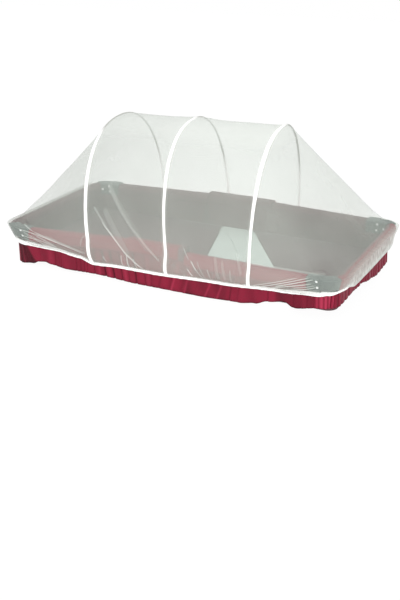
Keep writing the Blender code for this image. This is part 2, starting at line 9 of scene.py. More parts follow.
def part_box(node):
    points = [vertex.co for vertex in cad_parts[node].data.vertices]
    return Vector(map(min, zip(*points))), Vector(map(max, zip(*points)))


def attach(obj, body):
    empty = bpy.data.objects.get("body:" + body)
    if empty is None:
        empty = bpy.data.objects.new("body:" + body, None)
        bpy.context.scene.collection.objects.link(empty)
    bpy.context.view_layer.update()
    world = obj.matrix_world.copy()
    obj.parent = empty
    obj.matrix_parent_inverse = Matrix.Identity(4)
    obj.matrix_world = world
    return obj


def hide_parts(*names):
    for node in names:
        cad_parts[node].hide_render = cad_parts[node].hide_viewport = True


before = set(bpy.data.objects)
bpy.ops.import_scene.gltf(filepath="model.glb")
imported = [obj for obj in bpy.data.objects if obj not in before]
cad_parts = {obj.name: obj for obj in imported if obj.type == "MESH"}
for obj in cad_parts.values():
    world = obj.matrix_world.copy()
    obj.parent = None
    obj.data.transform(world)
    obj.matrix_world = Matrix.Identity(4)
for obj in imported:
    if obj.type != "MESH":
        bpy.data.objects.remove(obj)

bl_info = {
    "name": "Playpen Mosquito Net",
    "version": (1, 0, 0),
    "blender": (4, 5, 0),
    "location": "View3D > Sidebar > Playpen net",
    "description": "Sheer hooped net over a playpen top, with its cloth, plastic and stage",
    "category": "Object",
}

# ---- places read from the frame ----
RAIL_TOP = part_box("rail_left")[1][2]
HALF_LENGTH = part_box("rail_right")[1][0]
HALF_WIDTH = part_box("rail_back_left")[1][1]
RAIL_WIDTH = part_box("rail_back_left")[1][1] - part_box("rail_back_left")[0][1]
RAIL_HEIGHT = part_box("rail_left")[1][2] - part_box("rail_left")[0][2]
MAT_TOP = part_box("mat_middle")[1][2]
MAT_HALF_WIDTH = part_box("mat_middle")[1][1]
CORNER_RADIUS = 0.075
STRAIGHT_X = HALF_LENGTH - CORNER_RADIUS
STRAIGHT_Y = HALF_WIDTH - CORNER_RADIUS
QUARTER = CORNER_RADIUS * math.pi / 2
SIDES = ("front", "right", "back", "left")
SIDE_PITCH = STRAIGHT_X + QUARTER + STRAIGHT_Y
PERIMETER = 4 * SIDE_PITCH

HEM_INSET = 0.026
HEM_HEIGHT = 0.0105
RAIL_LAY = 0.022
HOOP_EXPONENT = 2.26
SKIRT_INSET = 0.0315
LINER_INSET = 0.041
MAT_INSET = HALF_WIDTH - MAT_HALF_WIDTH
MAT_CORNER_RADIUS = CORNER_RADIUS - MAT_INSET
MAT_EDGE = 0.008
MAT_TAPER = 0.110
BRACKET_ARM = 0.047
BRACKET_TOP_RADIUS, BRACKET_BOTTOM_RADIUS = 0.006, 0.007
BRACKET_TAPER = 0.018
BRACKET_TURN = math.radians(52)
RIVET_BEND = math.radians(42)
BRACKET_END_X = STRAIGHT_X - BRACKET_ARM
BRACKET_ARC = CORNER_RADIUS * BRACKET_TURN
PIECE_GAP = 0.0006
NET_PROUD = 0.0029          # how far the net stands out from the rail's outer face
NET_OVER = 0.0016           # how high it lies above the rail's top, round the ends
SEAM_SHARE = 0.12           # how far under a tape the net is sewn, of the tape's width
CLOTH_THICKNESS = 0.0012
CORNER_SEAM = 0.0011
RIVET_PROUD = 0.0006
RIVET_RADIUS, RIVET_HEIGHT = 0.0042, 0.0016
WALL_DROP = 0.036           # from the rail's top down to the walls' upper edge
WALL_UNDER_MAT = 0.006
RAIL_TOP_RADIUS, RAIL_BOTTOM_RADIUS = 0.018, 0.014
LATCH_GROWTH, LATCH_TOP_RADIUS = 0.0015, 0.0145

# ---- tables ----
# name, x of the front foot, x of the back foot, lean of the crown along X, rise over the rail
HOOPS = (
    ("left", -0.260, -0.323, -0.026, 0.353),
    ("middle", 0.036, -0.043, -0.027, 0.363),
    ("right", 0.326, 0.240, 0.010, 0.366),
)
# name, hoop on its left, hoop on its right
PANELS = (("net_panel_left", "left", "middle"), ("net_panel_right", "middle", "right"))
# name, its hoop, which end along X, sag
GORES = (("net_gore_left", "left", -1, 0.008), ("net_gore_right", "right", 1, 0.014))
# The fan's share of the hoop that is reached at each stop round the rail
GORE_SHARES = (0.0, 7 / 36, 13 / 36, 23 / 36, 29 / 36, 1.0)
SHARE_SOFTNESS = 7          # columns on each side over which a stop is softened

# name of the hoop, how far its front foot leans along X, then the shares of the tape's width that
# show at the front foot, low on the front, high on the front, at the crown and at the back, and
# the place along Y where the tape turns from the light
TAPES = (
    ("left", -0.004, 1.00, 0.90, 0.82, 0.36, 0.50, -0.170),
    ("middle", -0.015, 0.92, 0.64, 0.84, 0.74, 0.50, 0.010),
    ("right", -0.011, 0.92, 0.62, 1.00, 0.94, 0.50, 0.040),
)
# Shares of the arch at which the last three of those widths hold, and the tape's section as
# shares of its half width and of its puff
TAPE_STOPS = (0.28, 0.47, 0.6)
TAPE_SECTION = (
    (-1.0, 0.05), (-0.97, 0.22), (-0.80, 0.26), (-0.74, 0.20), (-0.66, 0.30), (-0.40, 0.72),
    (-0.15, 0.97), (0.0, 1.0), (0.15, 0.97), (0.40, 0.72), (0.66, 0.30), (0.74, 0.20),
    (0.80, 0.26), (0.97, 0.22), (1.0, 0.05), (0.97, -0.12), (0.5, -0.2), (0.0, -0.22),
    (-0.5, -0.2), (-0.97, -0.12),
)

# Depth of the hem's lower edge under the rail's top. for each side, (place along it, depth)
HEM_DEPTHS = {
    "front": ((-0.585, 0.066), (-0.550, 0.070), (-0.415, 0.072), (-0.317, 0.083), (-0.261, 0.098),
        (-0.160, 0.093), (-0.042, 0.093), (0.214, 0.085), (0.418, 0.074), (0.530, 0.067),
        (0.580, 0.059)),
    "right": ((-0.262, 0.052), (-0.200, 0.060), (-0.120, 0.070), (-0.041, 0.077), (0.093, 0.079),
        (0.237, 0.080)),
    "back": ((0.560, 0.070), (0.240, 0.082), (-0.320, 0.084), (-0.560, 0.070)),
    "left": ((0.200, 0.067), (-0.200, 0.066)),
}
# Depth of the skirt's lower edge under the rail's top. for each side, (place along it, depth)
SKIRT_DEPTHS = {
    "front": ((-0.573, 0.143), (-0.517, 0.137), (-0.492, 0.127), (-0.465, 0.124), (-0.444, 0.129),
        (-0.377, 0.136), (-0.265, 0.134), (-0.084, 0.141), (0.140, 0.142), (0.276, 0.138),
        (0.333, 0.130), (0.374, 0.116), (0.431, 0.107), (0.462, 0.121), (0.555, 0.106),
        (0.590, 0.104)),
    "right": ((-0.195, 0.103), (-0.140, 0.100), (-0.048, 0.106), (0.041, 0.124), (0.130, 0.138),
        (0.239, 0.134)),
    "back": ((0.490, 0.137), (0.430, 0.118), (0.340, 0.135), (-0.340, 0.137), (-0.430, 0.121),
        (-0.490, 0.138)),
    "left": ((0.240, 0.136), (0.150, 0.108), (-0.150, 0.106), (-0.240, 0.138)),
}
# Creases of the skirt's front. place along X at the top, slant to the foot, half width, depth
FRONT_FOLDS = (
    (-0.590, 0.020, 0.0030, 0.60), (-0.558, 0.022, 0.0016, 0.20), (-0.487, 0.006, 0.0030, 0.20),
    (-0.422, 0.001, 0.0018, 0.60), (-0.396, 0.000, 0.0015, 0.35), (-0.335, 0.001, 0.0018, 0.62),
    (-0.314, -0.003, 0.0015, 0.52), (-0.302, 0.001, 0.0015, 0.56), (-0.290, 0.001, 0.0015, 0.46),
    (-0.263, 0.003, 0.0018, 0.66), (-0.230, 0.014, 0.0028, 1.00), (-0.199, 0.018, 0.0030, 0.95),
    (-0.164, 0.015, 0.0022, 0.66), (-0.132, 0.010, 0.0018, 0.42), (-0.109, 0.014, 0.0026, 0.86),
    (-0.067, 0.006, 0.0018, 0.50), (-0.037, -0.001, 0.0018, 0.40), (0.016, -0.028, 0.0040, 0.36),
    (0.053, -0.027, 0.0050, 0.30), (0.100, -0.030, 0.0060, 0.34), (0.150, -0.034, 0.0050, 0.25),
    (0.260, -0.017, 0.0030, 0.50), (0.284, -0.014, 0.0040, 0.30), (0.330, -0.006, 0.0050, 0.25),
    (0.379, -0.003, 0.0022, 0.40), (0.420, 0.002, 0.0040, 0.30), (0.458, 0.004, 0.0026, 0.60),
    (0.484, 0.001, 0.0018, 0.40), (0.503, 0.002, 0.0018, 0.55), (0.526, 0.001, 0.0016, 0.50),
    (0.541, 0.001, 0.0016, 0.26), (0.560, 0.001, 0.0016, 0.18), (0.581, 0.001, 0.0018, 0.26),
)
# Painted shade on the skirt's front. X where each starts and ends at the top, slant, strength
SKIRT_SHADOWS = ((-0.640, -0.551, 0.055, 0.80), (0.105, 0.262, -0.030, 0.16), (0.395, 0.530, 0.0, 0.30))
# Painted highlights on the skirt's front folds. X at the top, slant to the foot, half width, strength
SKIRT_LIGHTS = (
    (-0.572, 0.020, 0.0016, 0.30), (-0.447, 0.006, 0.0090, 0.16), (-0.246, 0.006, 0.0060, 0.26),
    (-0.215, 0.016, 0.0050, 0.22), (-0.152, 0.018, 0.0060, 0.28), (-0.056, 0.007, 0.0070, 0.22),
    (0.071, -0.038, 0.0035, 0.34), (0.112, -0.030, 0.0040, 0.26), (0.199, -0.043, 0.0035, 0.30),
    (0.235, -0.036, 0.0040, 0.26), (0.535, 0.002, 0.0034, 0.40), (0.550, 0.001, 0.0060, 0.62),
    (0.570, 0.001, 0.0065, 0.70), (0.591, 0.001, 0.0065, 0.74), (0.612, 0.002, 0.0070, 0.60),
)


# Creases in the net. place along the front and height over the rail at one end, then at the
# other end, height of the ridge, half width, extra weight of the mesh along it
NET_CREASES = (
    (-0.235, 0.116, -0.180, 0.050, 0.0030, 0.0040, 0.14),
    (-0.200, 0.070, -0.061, -0.075, 0.0040, 0.0026, 0.44),
    (-0.196, 0.120, -0.100, -0.030, 0.0050, 0.0160, 0.05),
    (-0.190, 0.189, -0.075, 0.055, 0.0035, 0.0080, 0.11),
    (-0.110, 0.095, 0.010, -0.030, 0.0035, 0.0036, 0.16),
    (-0.150, 0.150, -0.020, -0.010, 0.0050, 0.0180, 0.04),
    (-0.206, -0.050, -0.199, -0.072, 0.0015, 0.0016, 0.30),
    (-0.132, -0.034, -0.138, -0.076, 0.0015, 0.0016, 0.32),
    (-0.109, -0.026, -0.115, -0.080, 0.0015, 0.0017, 0.38),
    (-0.086, -0.040, -0.083, -0.082, 0.0015, 0.0016, 0.30),
    (-0.546, 0.017, -0.480, -0.004, 0.0015, 0.0014, 0.30),
    (-0.480, -0.004, -0.286, -0.054, 0.0015, 0.0015, 0.36),
    (-0.548, -0.003, -0.476, -0.011, 0.0015, 0.0013, 0.42),
    (-0.476, -0.011, -0.334, -0.040, 0.0015, 0.0016, 0.44),
    (-0.545, -0.026, -0.457, -0.032, 0.0015, 0.0013, 0.40),
    (-0.457, -0.032, -0.390, -0.047, 0.0015, 0.0013, 0.34),
    (-0.535, -0.008, -0.452, -0.036, 0.0012, 0.0011, 0.34),
    (-0.525, -0.016, -0.455, -0.041, 0.0012, 0.0011, 0.30),
    (-0.533, -0.035, -0.475, -0.046, 0.0012, 0.0011, 0.28),
    (-0.500, -0.024, -0.440, -0.046, 0.0012, 0.0011, 0.28),
    (-0.505, -0.007, -0.430, -0.028, 0.0012, 0.0011, 0.26),
    (-0.470, -0.020, -0.400, -0.042, 0.0012, 0.0012, 0.30),
    (-0.434, -0.012, -0.278, -0.052, 0.0015, 0.0034, 0.13),
    (-0.449, -0.046, -0.262, -0.080, 0.0020, 0.0062, 0.26),
    (0.534, -0.003, 0.415, -0.046, 0.0015, 0.0014, 0.42),
    (0.518, 0.000, 0.366, -0.058, 0.0015, 0.0014, 0.36),
    (0.486, -0.005, 0.345, -0.058, 0.0015, 0.0014, 0.28),
    (0.541, -0.031, 0.440, -0.056, 0.0015, 0.0014, 0.42),
    (0.528, -0.018, 0.405, -0.053, 0.0015, 0.0013, 0.40),
    (0.538, -0.024, 0.470, -0.042, 0.0015, 0.0012, 0.34),
    (0.345, 0.015, 0.590, 0.015, 0.0010, 0.0030, 0.13),
    (0.100, 0.030, 0.118, -0.008, 0.0015, 0.0014, 0.22),
    (0.112, -0.041, 0.126, -0.068, 0.0015, 0.0015, 0.46),
    (0.127, -0.011, 0.144, -0.042, 0.0015, 0.0015, 0.42),
    (0.144, -0.042, 0.162, -0.068, 0.0015, 0.0014, 0.20),
    (0.148, -0.008, 0.172, -0.070, 0.0015, 0.0022, 0.10),
    (0.183, -0.029, 0.190, -0.066, 0.0015, 0.0016, 0.20),
    (0.211, 0.016, 0.221, -0.060, 0.0030, 0.0060, 0.07),
    (0.235, 0.007, 0.243, -0.060, 0.0030, 0.0050, 0.07),
    (0.262, -0.020, 0.262, -0.064, 0.0020, 0.0030, 0.09),
    (0.286, 0.039, 0.300, -0.030, 0.0030, 0.0060, 0.06),
    (-0.263, 0.113, -0.272, 0.050, 0.0030, 0.0040, 0.13),
    (-0.272, 0.055, -0.290, -0.025, 0.0030, 0.0036, 0.10),
    (-0.292, 0.160, -0.340, 0.090, 0.0040, 0.0060, 0.15),
)
# Where the net lies thicker or thinner. x, y, height over the rail, reach, extra weight
NET_CLOUDS = (
    (-0.500, -0.180, 0.050, 0.130, -0.13), (-0.560, -0.310, -0.020, 0.070, -0.10),
    (0.555, -0.320, -0.015, 0.060, -0.16), (0.570, 0.290, 0.010, 0.070, -0.14),
    (-0.420, 0.000, 0.160, 0.190, 0.08), (0.190, -0.200, 0.290, 0.200, -0.03),
)
# The padded half rails of the long sides. side, end (-1 left, 1 right), x at the latch, rise there
SIDE_RAILS = (
    ("rail_front_left", "front", -1, -0.115, 0.020),
    ("rail_front_right", "front", 1, 0.098, 0.006),
    ("rail_back_left", "back", -1, -0.107, 0.011),
    ("rail_back_right", "back", 1, 0.150, 0.010),
)
# The covers over the side latches. name, side, rise of the left end, rise of the right end
LATCH_COVERS = (
    ("latch_cover_front", "front", 0.025, 0.024),
    ("latch_cover_back", "back", 0.020, 0.017),
)
# The mat's pale middle part. its edges' places along X at the back wall and at the front wall
MAT_MIDDLE_BACK = (-0.048, 0.080)
MAT_MIDDLE_FRONT = (0.108, 0.458)

# The mat's edge from its foot up over the piping. inset, height over its top, share of piping
MAT_EDGE_SECTION = (
    (0.0000, -0.0080, 0.0), (0.0000, -0.0040, 0.0), (0.0004, -0.0010, 0.0), (0.0002, 0.0006, 1.0),
    (0.0003, 0.0018, 1.0), (0.0010, 0.0028, 1.0), (0.0020, 0.0032, 1.0), (0.0030, 0.0028, 1.0),
    (0.0036, 0.0021, 0.0), (0.0044, 0.0016, 0.0), (0.0085, 0.0020, 0.0), (0.0140, 0.0022, 0.0),
)


# Rows, columns on a long side and columns on a short side of the skirt's and the walls' grids
SKIRT_GRID = (24, 900, 440)
WALL_GRID = (14, 260, 140)
# Spacing of the net's rows where it is creased and elsewhere, and the rise up to which it is creased
FINE_STEP, COARSE_STEP, CREASED_RISE = 0.0022, 0.0085, 0.20
# Rows and columns of the net's grids. OVER_ROWS lie over the rail's top, between drop and fan
PANEL_COLUMNS, DROP_ROWS, OVER_ROWS = 150, 76, 4
GORE_COLUMNS, GORE_ROWS = 560, 50


# ---- what a user would change ----
def length(label, words, value):
    return bpy.props.FloatProperty(name=label, description=words, default=value, unit="LENGTH")


class PlaypenNetSizes(bpy.types.PropertyGroup):
    tape_width: length("Tape width", "Width of the hoop sleeves", 0.0138)
    tape_puff: length("Tape puff", "Thickness of the hoop sleeves", 0.0042)
    net_sag: length("Net sag", "Slack of the tunnel panels", 0.004)
    gather: length("Gather", "Depth of the gathers at the hem", 0.0016)
    gather_pitch: length("Gather pitch", "Width of one gather", 0.0085)
    skirt_fold: length("Skirt fold", "Depth of the skirt's folds", 0.0042)
    net_weight: bpy.props.FloatProperty(
        name="Net weight", description="How much of the view the net hides", default=0.34,
        min=0.0, max=1.0, subtype="FACTOR",
    )


def colour(label, words, value):
    return bpy.props.FloatVectorProperty(
        name=label, description=words, default=value, size=3, min=0.0, max=1.0, subtype="COLOR"
    )


class PlaypenNetColours(bpy.types.PropertyGroup):
    net: colour("Net", "The sheer mesh", (0.745, 0.805, 0.735))
    tape: colour("Tape", "Sleeves and hem", (0.95, 0.95, 0.94))
    maroon: colour("Maroon", "Rail covers and skirt", (0.25, 0.010, 0.034))
    wall: colour("Walls", "Inner walls", (0.128, 0.058, 0.068))
    lining: colour("Mat", "The mat's dark halves", (0.130, 0.070, 0.082))
    piping: colour("Piping", "Piping round the mat", (0.50, 0.50, 0.47))
    pale: colour("Pale", "The mat's middle", (0.62, 0.70, 0.66))
    plastic: colour("Plastic", "Corner brackets", (0.080, 0.102, 0.096))
    rivet: colour("Rivet", "Rivet heads", (0.92, 0.93, 0.92))


def sizes():
    return bpy.context.scene.playpen_net_sizes


def colours():
    return bpy.context.scene.playpen_net_colours


def row_of(table, name):
    """What follows a name in its row of a table."""
    return next(row for row in table if row[0] == name)[1:]


# ---- the plan outline ----
def outline_place(side, along):
    """Length round the outline, from the front's middle, of x (or y) = along on a side."""
    middle = SIDES.index(side) * SIDE_PITCH
    forward = 1 if side in ("front", "right") else -1
    return (middle + forward * along) % PERIMETER


RUNS = (
    (STRAIGHT_X, QUARTER, (STRAIGHT_X, -STRAIGHT_Y, 0.0), -90),
    (2 * STRAIGHT_Y, QUARTER, (STRAIGHT_X, STRAIGHT_Y, 0.0), 0),
    (2 * STRAIGHT_X, QUARTER, (-STRAIGHT_X, STRAIGHT_Y, 0.0), 90),
    (2 * STRAIGHT_Y, QUARTER, (-STRAIGHT_X, -STRAIGHT_Y, 0.0), 180),
    (STRAIGHT_X, 0.0, (0.0, -STRAIGHT_Y, 0.0), 270),
)


def outline_points(places):
    """Points and outward directions at places on the outline."""
    left = np.asarray(places, dtype=float) % PERIMETER
    points, outward = np.zeros((len(left), 3)), np.zeros((len(left), 3))
    waiting = np.ones(len(left), dtype=bool)
    for straight, arc, centre, degrees in RUNS:
        angle = math.radians(degrees)
        turn = angle + np.maximum(0.0, left - straight) / CORNER_RADIUS
        out = np.stack([np.cos(turn), np.sin(turn), np.zeros(len(left))], axis=-1)
        along = np.array((-math.sin(angle), math.cos(angle), 0.0))
        start = np.array(centre) - along * np.maximum(0.0, straight - left)[:, None]
        here = waiting & ((left <= straight + arc) | (arc == 0.0))
        points[here], outward[here] = (start + out * CORNER_RADIUS)[here], out[here]
        waiting &= ~here
        left = left - straight - arc
    return points, outward


def smooth(value):
    """A share eased at both ends, 0 below 0 and 1 above 1."""
    value = np.clip(value, 0.0, 1.0)
    return value * value * (3 - 2 * value)


def eased(table, places):
    """Values at places on the outline, eased between a table's stops on each side."""
    rows = sorted((outline_place(side, along), value) for side in SIDES for along, value in table[side])
    rows = [(rows[-1][0] - PERIMETER, rows[-1][1])] + rows + [(rows[0][0] + PERIMETER, rows[0][1])]
    stops, values = (np.array(column) for column in zip(*rows))
    places = np.asarray(places) % PERIMETER
    index = np.clip(np.searchsorted(stops, places, side="right") - 1, 0, len(rows) - 2)
    share = smooth((places - stops[index]) / (stops[index + 1] - stops[index]))
    return values[index] + (values[index + 1] - values[index]) * share


def hem_low(places):
    """Heights of the hem's lower edge at places on the outline."""
    return RAIL_TOP - eased(HEM_DEPTHS, places)


def corner_share(places):
    """1 on the playpen's corners, where the outer face leans in, and 0 along its straight sides."""
    near = np.asarray(places) % PERIMETER
    ends = [side * SIDE_PITCH + (STRAIGHT_X if side % 2 == 0 else STRAIGHT_Y) for side in range(4)]
    away = np.min([np.abs(near - end - QUARTER / 2) for end in ends], axis=0)
    return smooth((BRACKET_ARM + QUARTER / 2 - away) / BRACKET_ARM + 0.15)


def front_run(places):
    """Places as x along the front side, below zero on its left half."""
    places = np.asarray(places) % PERIMETER
    return np.where(places > PERIMETER / 2, places - PERIMETER, places)


def shortest(gaps):
    """Gaps along the closed outline, each taken the short way round."""
    return (gaps + PERIMETER / 2) % PERIMETER - PERIMETER / 2


def ripple(places, pace, second, third):
    """Smooth unevenness along places on the outline, from -1 to 1."""
    return np.array([noise.noise(Vector((place * pace, second, third))) for place in places])


def gather_wave(places):
    """Uneven ripple of the elastic's gathers along the outline, from -1 to 1."""
    pitch = 2 * math.pi / sizes().gather_pitch
    places = np.asarray(places)
    drift = 1.9 * np.sin(places * 9.0) + 1.3 * np.sin(places * 23.0 + 1.0)
    fine = np.sin(places * pitch + drift) + 0.45 * np.sin(places * pitch * 0.43 + 2.0 * drift)
    return fine / 1.45


def tuck(places, share):
    """Insets and heights of the net's way round the rail. share is 0 at the hem, 1 at the rail's top."""
    t = 1 - share
    weights = ((1 - t) ** 3, 3 * (1 - t) ** 2 * t, 3 * (1 - t) * t * t, t**3)
    corner = corner_share(places)
    lows = hem_low(places) + HEM_HEIGHT * 0.55
    insets = (-NET_PROUD, -0.0048 + 0.0088 * corner, 0.0040 + 0.0130 * corner, HEM_INSET)
    heights = (RAIL_TOP, RAIL_TOP - 0.045 + 0.025 * corner, RAIL_TOP - 0.066 + 0.020 * corner, lows)
    inset = sum(w * i for w, i in zip(weights, insets))
    height = sum(w * h for w, h in zip(weights, heights))
    return inset, height


# ---- hoops ----
def hoop_arch(name, angles):
    """Points of a hoop's arch over the rail. angle 0 is at the front, pi at the back."""
    front_x, back_x, lean, rise = row_of(HOOPS, name)
    side = -np.cos(angles)
    across = np.sign(side) * np.abs(side) ** (2 / HOOP_EXPONENT)
    up = np.clip(np.sin(angles), 0.0, 1.0) ** (2 / HOOP_EXPONENT)
    x = front_x + (back_x - front_x) * (across + 1) / 2 + lean * up
    return np.stack([x, (HALF_WIDTH + NET_PROUD) * across, RAIL_TOP + rise * up], axis=-1)


def foot_lean(hoop, side, share):
    """How far a hoop's foot leans along X at a share of the way from the hem to the rail's top."""
    lean = row_of(TAPES, hoop)[0]
    return lean * (1 - share) if side == "front" else 0.0


def hoop_line(name, arch_rows, foot_rows):
    """The whole line of a hoop: up from the front hem, over the arch, down to the back hem."""
    front_x, back_x = row_of(HOOPS, name)[:2]
    line = []
    for side, x in (("front", front_x), ("back", back_x)):
        leg = []
        for step in range(foot_rows):
            share = step / foot_rows
            place = np.array([outline_place(side, x + foot_lean(name, side, share))])
            point, outward = outline_points(place)
            inset, height = tuck(place, share)
            foot = point[0] - outward[0] * inset[0]
            leg.append((foot[0], foot[1], height[0]))
        line.append(leg)
    angles = np.linspace(0.0, math.pi, arch_rows + 1)
    arch = [tuple(point) for point in hoop_arch(name, angles)]
    return np.array(line[0] + arch + line[1][::-1])


# ---- mesh helpers ----
def nothing_selected():
    bpy.ops.object.select_all(action="DESELECT")


def grid_faces(rows, columns, wrap=False):
    """Four-sided faces of a grid of points. wrap joins its last column to its first."""
    faces = []
    for row in range(rows - 1):
        here, there = row * columns, (row + 1) * columns
        for column in range(columns if wrap else columns - 1):
            beside = (column + 1) % columns
            faces.append((here + column, here + beside, there + beside, there + column))
    return faces


def running(steps):
    """Lengths from the first point to each point, from the steps between them."""
    return np.concatenate([[0.0], np.cumsum(steps)])


def mean_steps(grid, axis):
    """Mean length of the steps between neighbouring points of a grid, along one of its axes."""
    return np.linalg.norm(np.diff(grid, axis=axis), axis=2).mean(axis=1 - axis)


def mesh_of_grid(name, grid, faces):
    """A mesh of a grid's points, and the point that each corner of its faces uses."""
    mesh = bpy.data.meshes.new(name)
    mesh.from_pydata(grid.reshape(-1, 3).tolist(), [], faces)
    index = np.empty(len(mesh.loops), dtype=np.int64)
    mesh.loops.foreach_get("vertex_index", index)
    return mesh, index


def closing_corners(index, rows, columns):
    """Which face corners come back to the first column, where the UV map has to run on."""
    last = np.zeros(len(index), dtype=bool)
    last[: 4 * (rows - 1) * columns] = np.repeat(np.tile(np.arange(columns), rows - 1) == columns - 1, 4)
    return last & (index % columns == 0)


def dress_mesh(mesh, uvs, marks):
    """Give a mesh its UV map, in metres, and its named point values."""
    mesh.uv_layers.new(name="cloth").data.foreach_set("uv", uvs.ravel())
    for key, values in (marks or {}).items():
        attribute = mesh.attributes.new(key, "FLOAT", "POINT")
        attribute.data.foreach_set("value", np.ascontiguousarray(values, dtype=np.float32).ravel())


def place_piece(name, mesh, stuff):
    """Put a mesh in the scene as an object with one material."""
    piece = bpy.data.objects.new(name, mesh)
    bpy.context.collection.objects.link(piece)
    piece.data.materials.append(stuff)
    return piece


def add_cloth(name, grid, stuff, wrap=False, thickness=0.0, marks=None):
    """A sheet from a grid of points (rows, columns, 3).

    marks are named values for each point, such as where the cloth is creased.
    """
    rows, columns, _ = grid.shape
    mesh, index = mesh_of_grid(name, grid, grid_faces(rows, columns, wrap))
    across = running(mean_steps(np.concatenate([grid, grid[:, :1]], axis=1), 1))
    along = running(mean_steps(grid, 0))
    uvs = np.stack([across[index % columns], along[index // columns]], axis=-1)
    if wrap:
        uvs[closing_corners(index, rows, columns), 0] = across[-1]
    dress_mesh(mesh, uvs, marks)
    piece = place_piece(name, mesh, stuff)
    if thickness:
        wall = piece.modifiers.new("Thickness", "SOLIDIFY")
        wall.thickness = thickness
        wall.offset = 0.0
        apply_modifiers(piece)
    piece.data.shade_smooth()
    return piece


def add_tube(name, rings, stuff, marks=None, flat_uv=False):
    """A closed padded form through rings of points, capped at both ends.

    flat_uv lays the map out in plan instead of along and round the form.
    """
    rows, count, _ = rings.shape
    faces = grid_faces(rows, count, wrap=True)
    faces.append(tuple(reversed(range(count))))
    faces.append(tuple(range((rows - 1) * count, rows * count)))
    mesh, index = mesh_of_grid(name, rings, faces)
    if flat_uv:
        uvs = np.ascontiguousarray(rings.reshape(-1, 3)[index, :2])
    else:
        along = running(np.linalg.norm(np.diff(rings.mean(axis=1), axis=0), axis=1))
        around = running(mean_steps(np.concatenate([rings, rings[:, :1]], axis=1), 1))
        uvs = np.stack([along[index // count], around[index % count]], axis=-1)
        uvs[closing_corners(index, rows, count), 1] = around[-1]
    dress_mesh(mesh, uvs, marks)
    work = bmesh.new()
    work.from_mesh(mesh)
    bmesh.ops.recalc_face_normals(work, faces=work.faces)
    work.to_mesh(mesh)
    work.free()
    piece = place_piece(name, mesh, stuff)
    piece.data.shade_smooth()
    return piece


def turn_piece(angle, axis):
    """Turn what is selected about the origin."""
    bpy.ops.transform.rotate(value=angle, orient_axis=axis, center_override=(0.0, 0.0, 0.0))


def settle():
    """Put the selected piece's place, turn and scale into its mesh."""
    bpy.ops.object.transform_apply(location=True, rotation=True, scale=True)


def apply_modifiers(piece):
    nothing_selected()
    bpy.context.view_layer.objects.active = piece
    piece.select_set(True)
    for modifier in list(piece.modifiers):
        bpy.ops.object.modifier_apply(modifier=modifier.name)
    nothing_selected()


def finish_piece(piece, slot, *nodes):
    """Say what a piece rides on and which nodes it stands for. slot is not used."""
    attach(piece, "root")
    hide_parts(*nodes)


# ---- material helpers ----
def new_material(name):
    made = bpy.data.materials.new(name)
    made.use_nodes = True
    shader = made.node_tree.nodes["Principled BSDF"]
    shader.inputs["Metallic"].default_value = 0.0
    return made, made.node_tree, shader


def new_group(name, inputs, outputs):
    """An empty shader node group. inputs and outputs are (name, socket kind, default)."""
    group = bpy.data.node_groups.new(name, "ShaderNodeTree")
    for label, kind, value in inputs:
        socket = group.interface.new_socket(label, in_out="INPUT", socket_type=kind)
        if value is not None:
            socket.default_value = value
    for label, kind in outputs:
        group.interface.new_socket(label, in_out="OUTPUT", socket_type=kind)
    return group, group.nodes.new("NodeGroupInput"), group.nodes.new("NodeGroupOutput")


def place_group(tree, group, **values):
    """Add a node group with its inputs set. An underscore in a name stands for a space."""
    node = tree.nodes.new("ShaderNodeGroup")
    node.node_tree = group
    for label, value in values.items():
        node.inputs[label.replace("_", " ")].default_value = value
    return node


def feed(tree, socket, value):
    """Link an output to a socket, or set the socket to a plain value."""
    if isinstance(value, bpy.types.NodeSocket):
        tree.links.new(value, socket)
    else:
        socket.default_value = value


def math_node(tree, operation, *operands):
    node = tree.nodes.new("ShaderNodeMath")
    node.operation = operation
    for socket, operand in zip(node.inputs, operands):
        feed(tree, socket, operand)
    return node.outputs[0]


def noise_node(tree, where, scale, detail=2.0):
    """Share, about 0.5, of a noise that is fixed to the piece."""
    node = tree.nodes.new("ShaderNodeTexNoise")
    node.inputs["Scale"].default_value = scale
    node.inputs["Detail"].default_value = detail
    tree.links.new(where.outputs["Object"], node.inputs["Vector"])
    return node.outputs["Fac"]


def swing(tree, share, amount):
    """A share, about 0.5, as a change about 0."""
    return math_node(tree, "MULTIPLY", math_node(tree, "SUBTRACT", share, 0.5), amount)


def mix_node(tree, share, first, second):
    node = tree.nodes.new("ShaderNodeMix")
    node.data_type = "RGBA"
    for number, value in ((0, share), (6, first), (7, second)):
        feed(tree, node.inputs[number], value)
    return node.outputs[2]


def scale_node(tree, tint, by):
    node = tree.nodes.new("ShaderNodeVectorMath")
    node.operation = "SCALE"
    feed(tree, node.inputs[0], tint)
    feed(tree, node.inputs["Scale"], by)
    return node.outputs[0]


def mark_node(tree, name):
    """A piece's point value of this name."""
    node = tree.nodes.new("ShaderNodeAttribute")
    node.attribute_name = name
    return node.outputs["Fac"]


def bump(tree, shader, height, strength, distance):
    node = tree.nodes.new("ShaderNodeBump")
    node.inputs["Strength"].default_value = strength
    node.inputs["Distance"].default_value = distance
    tree.links.new(height, node.inputs["Height"])
    tree.links.new(node.outputs[0], shader.inputs["Normal"])


